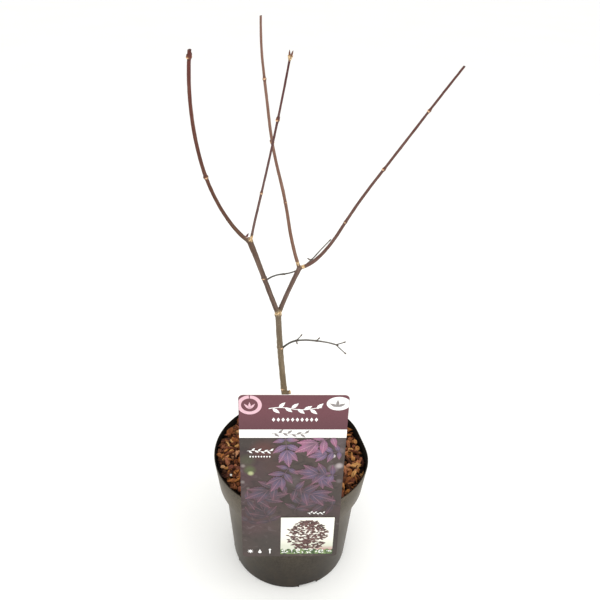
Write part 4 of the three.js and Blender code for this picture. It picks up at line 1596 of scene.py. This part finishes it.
def moved_on_card(piece, x, z, angle, size, level):
    """Copies a shape of ink to a place on the card, with its own mesh."""
    place = Matrix.Translation(Vector((x, -INK_STEP * level, z)) * MM)
    turned = Matrix.Rotation(math.radians(-angle), 4, "Y")
    return copied(piece, place @ turned @ Matrix.Diagonal((size, 1, size, 1)))


sprig_leaflets = []
for i, (reach, angle, size) in enumerate(SPRIG_LEAFLETS):
    sprig_leaflets.append(moved_on_card(leaflet_shape, reach, 0, angle, size, 0.3 * i))
stalk = flat("stalk", [(0, -0.35), (23, -0.25), (23, 0.25), (0, 0.35)], 2.4)
sprig_shape = joined("sprig_shape", [*sprig_leaflets, stalk])
drawn = []
for i, (x, z, angle, size, tone) in enumerate(SPRIGS):
    drawn.append(toned(moved_on_card(sprig_shape, x, z, angle, size, 3 * i), tone))
bpy.data.objects.remove(sprig_shape)
bpy.data.objects.remove(leaflet_shape)

leaf_print, tree, shader, place = printed("leaf print")
tone = kept(tree, "tone")
shade = spread(tree, noisy(tree, place, 70, 3), 0.3, 0.7, -0.14, 0.14)
LEAF_COLOURS = ((0.2, "4c4348"), (0.36, "544a58"), (0.5, "5f5268"), (0.7, "766685"), (0.85, "866478"))
leafy = ramped(tree, worked_out(tree, "ADD", tone, shade), "3d3437", "9f7090", LEAF_COLOURS)
on_leaflet = axes(tree, kept(tree, "grain", "Vector"))
from_midrib = worked_out(tree, "ABSOLUTE", on_leaflet["Z"])
slanted = worked_out(tree, "SUBTRACT", on_leaflet["X"], from_midrib)
veins = worked_out(tree, "SINE", worked_out(tree, "MULTIPLY", slanted, 2.4))
warm = mixed(tree, tone, "4d3537", "9c5d70")
midrib = mixed(tree, tone, "6b4a50", "cf9fae")
for share, colour in (
    (spread(tree, on_leaflet["X"], 7, 20, 0, 0.8), warm),
    (spread(tree, from_midrib, 2.6, 4.4, 0, 0.45), warm),
    (spread(tree, veins, 0.5, 1, 0, 0.3), "352c33"),
    (spread(tree, from_midrib, 0.2, 0.45, 0.5, 0), midrib),
    (spread(tree, on_leaflet["X"], 0, 7, 0.55, 0), "3a2d33"),
):
    leafy = mixed(tree, share, leafy, colour)
surfaced(tree, shader, leafy)
in_print("card_leaves", drawn, leaf_print, BAND_LOW)

# White ornaments: a leafy garland over a row of lozenges in the header, smaller ones on the
# picture, an oval badge, and signs for sun, water and height at the foot.

GARLAND_LEAVES = 8
GARLAND_PITCH = 6.4


def garland(x, z, size, level):
    """A waving stem with leaflets above and below it."""
    shapes = []
    for i in range(GARLAND_LEAVES):
        angle = 40 + 10 * math.sin(i) if i % 2 else -40
        across = (i - GARLAND_LEAVES / 2 + 0.4) * GARLAND_PITCH
        wave = 1.5 * math.sin(0.9 * i)
        leaf = turned_outline(leaflet(9.5, 4.4, 4), across, wave, angle)
        shapes.append(flat("leaf", turned_outline(leaf, x, z, 0, size), level))
    upper = [(-27 + 2 * i, 1.5 * math.sin(0.28 * i) + 0.45) for i in range(28)]
    lower = [(u, v - 0.9) for u, v in reversed(upper)]
    shapes.append(flat("stem", turned_outline(upper + lower, x, z, 0, size), level + 1))
    return shapes


def star(x, z, inner, outer, points, level=0):
    """A pointed star, for the sun and for the flowers."""
    outline = []
    for i in range(2 * points):
        angle = math.pi * i / points
        reach = inner if i % 2 else outer
        outline.append((x + reach * math.cos(angle), z + reach * math.sin(angle)))
    return flat("star", outline, level)


def lozenges(count, x, z, pitch, size, level=0):
    """A row of small diamonds about a middle."""
    row = []
    for i in range(count):
        u = x + (i - (count - 1) / 2) * pitch
        tall = 1.6 * size
        outline = [(u + size, z), (u, z + tall), (u - size, z), (u, z - tall)]
        row.append(flat("lozenge", outline, level))
    return row


def leaves(x, z, length, width, angles, level=0):
    """A fan of leaflets from one point."""
    outline = leaflet(length, width, 4)
    return [flat("leaf", turned_outline(outline, x, z, angle), level) for angle in angles]


ON_PICTURE = 54
ARROW = [(-24, 98), (-22.6, 98), (-22.6, 104), (-21.4, 104), (-23.3, 106.6), (-25.2, 104), (-24, 104)]
ornaments = [
    *garland(1.5, 319, 0.98, 0),
    *lozenges(10, 1.5, 304.5, 4.8, 1.7),
    *garland(-34, 262, 0.5, ON_PICTURE),
    *lozenges(8, -34, 254, 2.9, 0.95, ON_PICTURE),
    *garland(28, 167.5, 0.36, ON_PICTURE),
    disc(44.5, 325.5, 12, 0, 40, 0.72),
    star(-46, 102, 1.6, 3.6, 8),
    disc(-35, 100.5, 2),
    flat("drop", [(-36.6, 101.5), (-35, 105.5), (-33.4, 101.5)]),
    flat("arrow", ARROW),
]
in_print("card_ornaments", ornaments, white_print)

grey_marks = garland(-3, 285.6, 0.7, 0) + leaves(43.5, 321.5, 9, 3.6, (28, 90, 152), 7)
in_print("card_grey_marks", grey_marks, inked("grey print", "7d7776", "9a9492"))

# A pink ring that is open at its top, with a sprout in it
RING_STEPS = 40
RING_RADII = (12.2, 8.4)

outer_edge, inner_edge = [rounded(-44, 323.6, radius, 93, 447, RING_STEPS) for radius in RING_RADII]
ring = flat("ring", [*outer_edge, *reversed(inner_edge)])
pink_marks = [ring, *leaves(-44, 318.6, 8.5, 2.8, (50, 90, 130))]
in_print("card_pink_marks", pink_marks, inked("pink print", "d5a9b4", "e6c3cc"))

# The small picture: a round dark bush over a border of white flowers, on a cream ground.
# Each layer of the bush is given by its height and half its width.

INSET = {"left": -11, "right": 49.5, "low": 97.5, "high": 160}
BUSH_LEAVES = 34
HEDGE_STEPS = 30
FLOWERS = 60
BUSH_LAYERS = [
    (109, 12), (113, 15), (117, 17), (121, 20), (125, 17), (129, 21), (133, 18), (137, 21),
    (141, 17), (145, 15), (149, 11), (152, 8),
]

left, right, low, high = INSET.values()
ground = flat("ground", [(left, low), (right, low), (right, high), (left, high)], ON_PICTURE)
cream_print, tree, shader, place = printed("cream picture print")
spot = axes(tree, place)
cream = mixed(tree, spread(tree, spot["Z"], 0.112, 0.128, 1, 0), "f4f2e6", "d3d6c4")
low_down = spread(tree, spot["Z"], 0.105, 0.112, 1, 0)
corner = worked_out(tree, "MULTIPLY", low_down, spread(tree, spot["X"], 0.026, 0.034))
cream = mixed(tree, corner, cream, "b5807b")
haze = spread(tree, noisy(tree, place, 60, 3), 0.45, 0.7, 0, 0.3)
surfaced(tree, shader, mixed(tree, haze, cream, "e9e6da"))
in_print("card_inset_ground", [ground], cream_print)

random.seed(29)
bush = []
for layer, (z, half) in enumerate(BUSH_LAYERS):
    for i in range(BUSH_LEAVES):
        share = random.uniform(-1, 1)
        x = 20 + (half + 3) * share + (3 if share < 0 else -3)
        droop = random.uniform(-25, 35)
        turn = 180 - droop if share < 0 else droop
        leaf = leaflet(random.uniform(3, 5.5), 2.4, 2)
        outline = turned_outline(leaf, x, z + random.uniform(-2, 2), turn)
        tone = random.random() * (1 - 0.4 * abs(share))
        bush.append(toned(flat("bush_leaf", outline, ON_PICTURE + 4 + (layer + i) % 9), tone))
bush_stem = flat("bush_stem", [(19, 102), (21.5, 102), (21, 124), (19.6, 124)], ON_PICTURE + 3)
bush.append(toned(bush_stem, 0.1))
bush_print, tree, shader, place = printed("bush print")
bushy = mixed(tree, kept(tree, "tone"), "35211f", "6d4a47")
fleck = spread(tree, noisy(tree, place, 500), 0.4, 0.7, 0, 0.5)
surfaced(tree, shader, mixed(tree, fleck, bushy, "8f736c"))
in_print("card_inset_bush", bush, bush_print)

hedge_line = [(left, low)]
for i in range(HEDGE_STEPS + 1):
    across = left + (right - left) * i / HEDGE_STEPS
    hedge_line.append((across, low + 8 + 1.4 * math.sin(1.7 * i)))
hedge = flat("hedge", [*hedge_line, (right, low)], ON_PICTURE + 12)
green_print = inked("green print", "3c5230", "7f9560", 0.42, 0.58, 260, 4)
in_print("card_inset_green", [hedge], green_print)

flowers = []
for i in range(FLOWERS):
    x = left + 1.5 + (right - left - 3) * random.random()
    z = low + 1.5 + 6.5 * random.random()
    flowers.append(star(x, z, 0.5, random.uniform(0.7, 1.4), 5, ON_PICTURE + 16 + i % 4))
in_print("card_inset_flowers", flowers, white_print)

# Rim strap
# The white plastic strap that hangs the card on the rim. It is behind the card and does not
# show in front: a flat strip is bent over the rim, thickened, and rounded at its edges.

STRAP_WIDTH = 22
STRAP_THICKNESS = 0.8
STRAP_GAP = 0.3
STRAP_LOW = 128
TONGUE_LOW = 150
TONGUE_FOOT = 91.4
STRAP_EDGE = 0.2

leg = RIM_RADIUS + STRAP_GAP
bridge = POT_HEIGHT + STRAP_GAP
tongue = RIM_RADIUS - POT_WALL - 1
strap_line = [
    (leg, STRAP_LOW),
    *rounded(leg - STRAP_GAP, bridge - STRAP_GAP, STRAP_GAP, 0, 90),
    *rounded(tongue + STRAP_GAP, bridge - STRAP_GAP, STRAP_GAP, 90, 175),
    (TONGUE_FOOT, TONGUE_LOW),
]
strap = strung("rim_strap", [(-STRAP_WIDTH / 2, -out, up) for out, up in strap_line])
bpy.ops.mesh.extrude_region_move(TRANSFORM_OT_translate={"value": (STRAP_WIDTH * MM, 0, 0)})
face_outward()
fix_place(strap)
outermost = max(strap.data.polygons, key=lambda face: -face.center.y)
side = 1 if outermost.normal.y < 0 else -1
applied(strap, "SOLIDIFY", thickness=STRAP_THICKNESS * MM, offset=side)
edges = {"width": STRAP_EDGE * MM, "segments": 2}
applied(strap, "BEVEL", limit_method="ANGLE", angle_limit=math.radians(50), **edges)
face_outward()
smoothed(strap, 35)
strap.data.transform(card_turned)

strap_finish, tree, shader = new_finish("white strap plastic", Specular_IOR_Level=0.45)
touched = place_effect(tree, handled, {"Place": own_place(tree), "Dust": 0.3})
dulled = mixed(tree, touched["Dust"], "efeeea", "d8d5ce")
surfaced(tree, shader, dulled, touched["Grain"], HANDLED_RELIEF)
tree.links.new(spread(tree, touched["Dust"], 0, 0.5, 0.38, 0.55), shader["Roughness"])
coated(strap, strap_finish)
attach(strap, "root")
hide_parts("label_hook")

# Stage
# A pale floor under soft light from all round, and the camera at the photograph's place,
# looking down at the plant from just above the tip of its tallest shoot.

CAMERA_PLACE = (5, -594, 748)
CAMERA_PITCH = 31.4
CAMERA_ROLL = 1.8
CAMERA_LENS = 39
CAMERA_SENSOR = 36
HALF_PIXEL = 0.5 / 600
FLOOR_SIZE = 60
LIGHT_AIM = (0, 0, 0.25)

bpy.ops.object.select_all(action="DESELECT")
bpy.ops.mesh.primitive_plane_add(size=FLOOR_SIZE)
floor = bpy.context.object
floor.name = "floor"
# The floor also glows faintly in its own pale colour: painted light that lifts the shadows round the pot.
floor_finish, tree, shader = new_finish(
    "pale floor", Roughness=0.7, Specular_IOR_Level=0.2, Emission_Strength=0.05
)
pale = speckled(tree, own_place(tree), 3, "fdfdfb", "fafaf6")
surfaced(tree, shader, pale)
tree.links.new(pale, shader["Emission Color"])
coated(floor, floor_finish)

world = bpy.data.worlds.new("soft studio")
bpy.context.scene.world = world
world.use_nodes = True
sky = world.node_tree.nodes["Background"].inputs
sky["Color"].default_value = (1, 1, 1, 1)
sky["Strength"].default_value = 1.0

LIGHTS = [
    ("key_light", (-0.4, -1.4, 1.5), 1.2, 8),
    ("fill_light", (1.2, -0.6, 1.3), 1.4, 7),
    ("back_light", (0.2, 1.4, 1.6), 1.6, 0.8),
]
for name, place, size, power in LIGHTS:
    bpy.ops.object.light_add(type="AREA", location=place)
    lamp = bpy.context.object
    lamp.name = name
    lamp.data.size = size
    lamp.data.energy = power
    lamp.rotation_euler = (Vector(LIGHT_AIM) - Vector(place)).to_track_quat("-Z", "Y").to_euler()

camera_data = bpy.data.cameras.new("camera")
camera_data.lens = CAMERA_LENS
camera_data.sensor_width = CAMERA_SENSOR
camera_data.clip_start = 0.01
camera_data.shift_x = -HALF_PIXEL
camera_data.shift_y = HALF_PIXEL
camera = bpy.data.objects.new("camera", camera_data)
bpy.context.scene.collection.objects.link(camera)
pitched = Matrix.Rotation(math.radians(90 - CAMERA_PITCH), 4, "X")
rolled = Matrix.Rotation(math.radians(CAMERA_ROLL), 4, "Z")
camera.matrix_world = Matrix.Translation(Vector(CAMERA_PLACE) * MM) @ (pitched @ rolled)
bpy.context.scene.camera = camera
bpy.context.scene.view_settings.view_transform = "Standard"
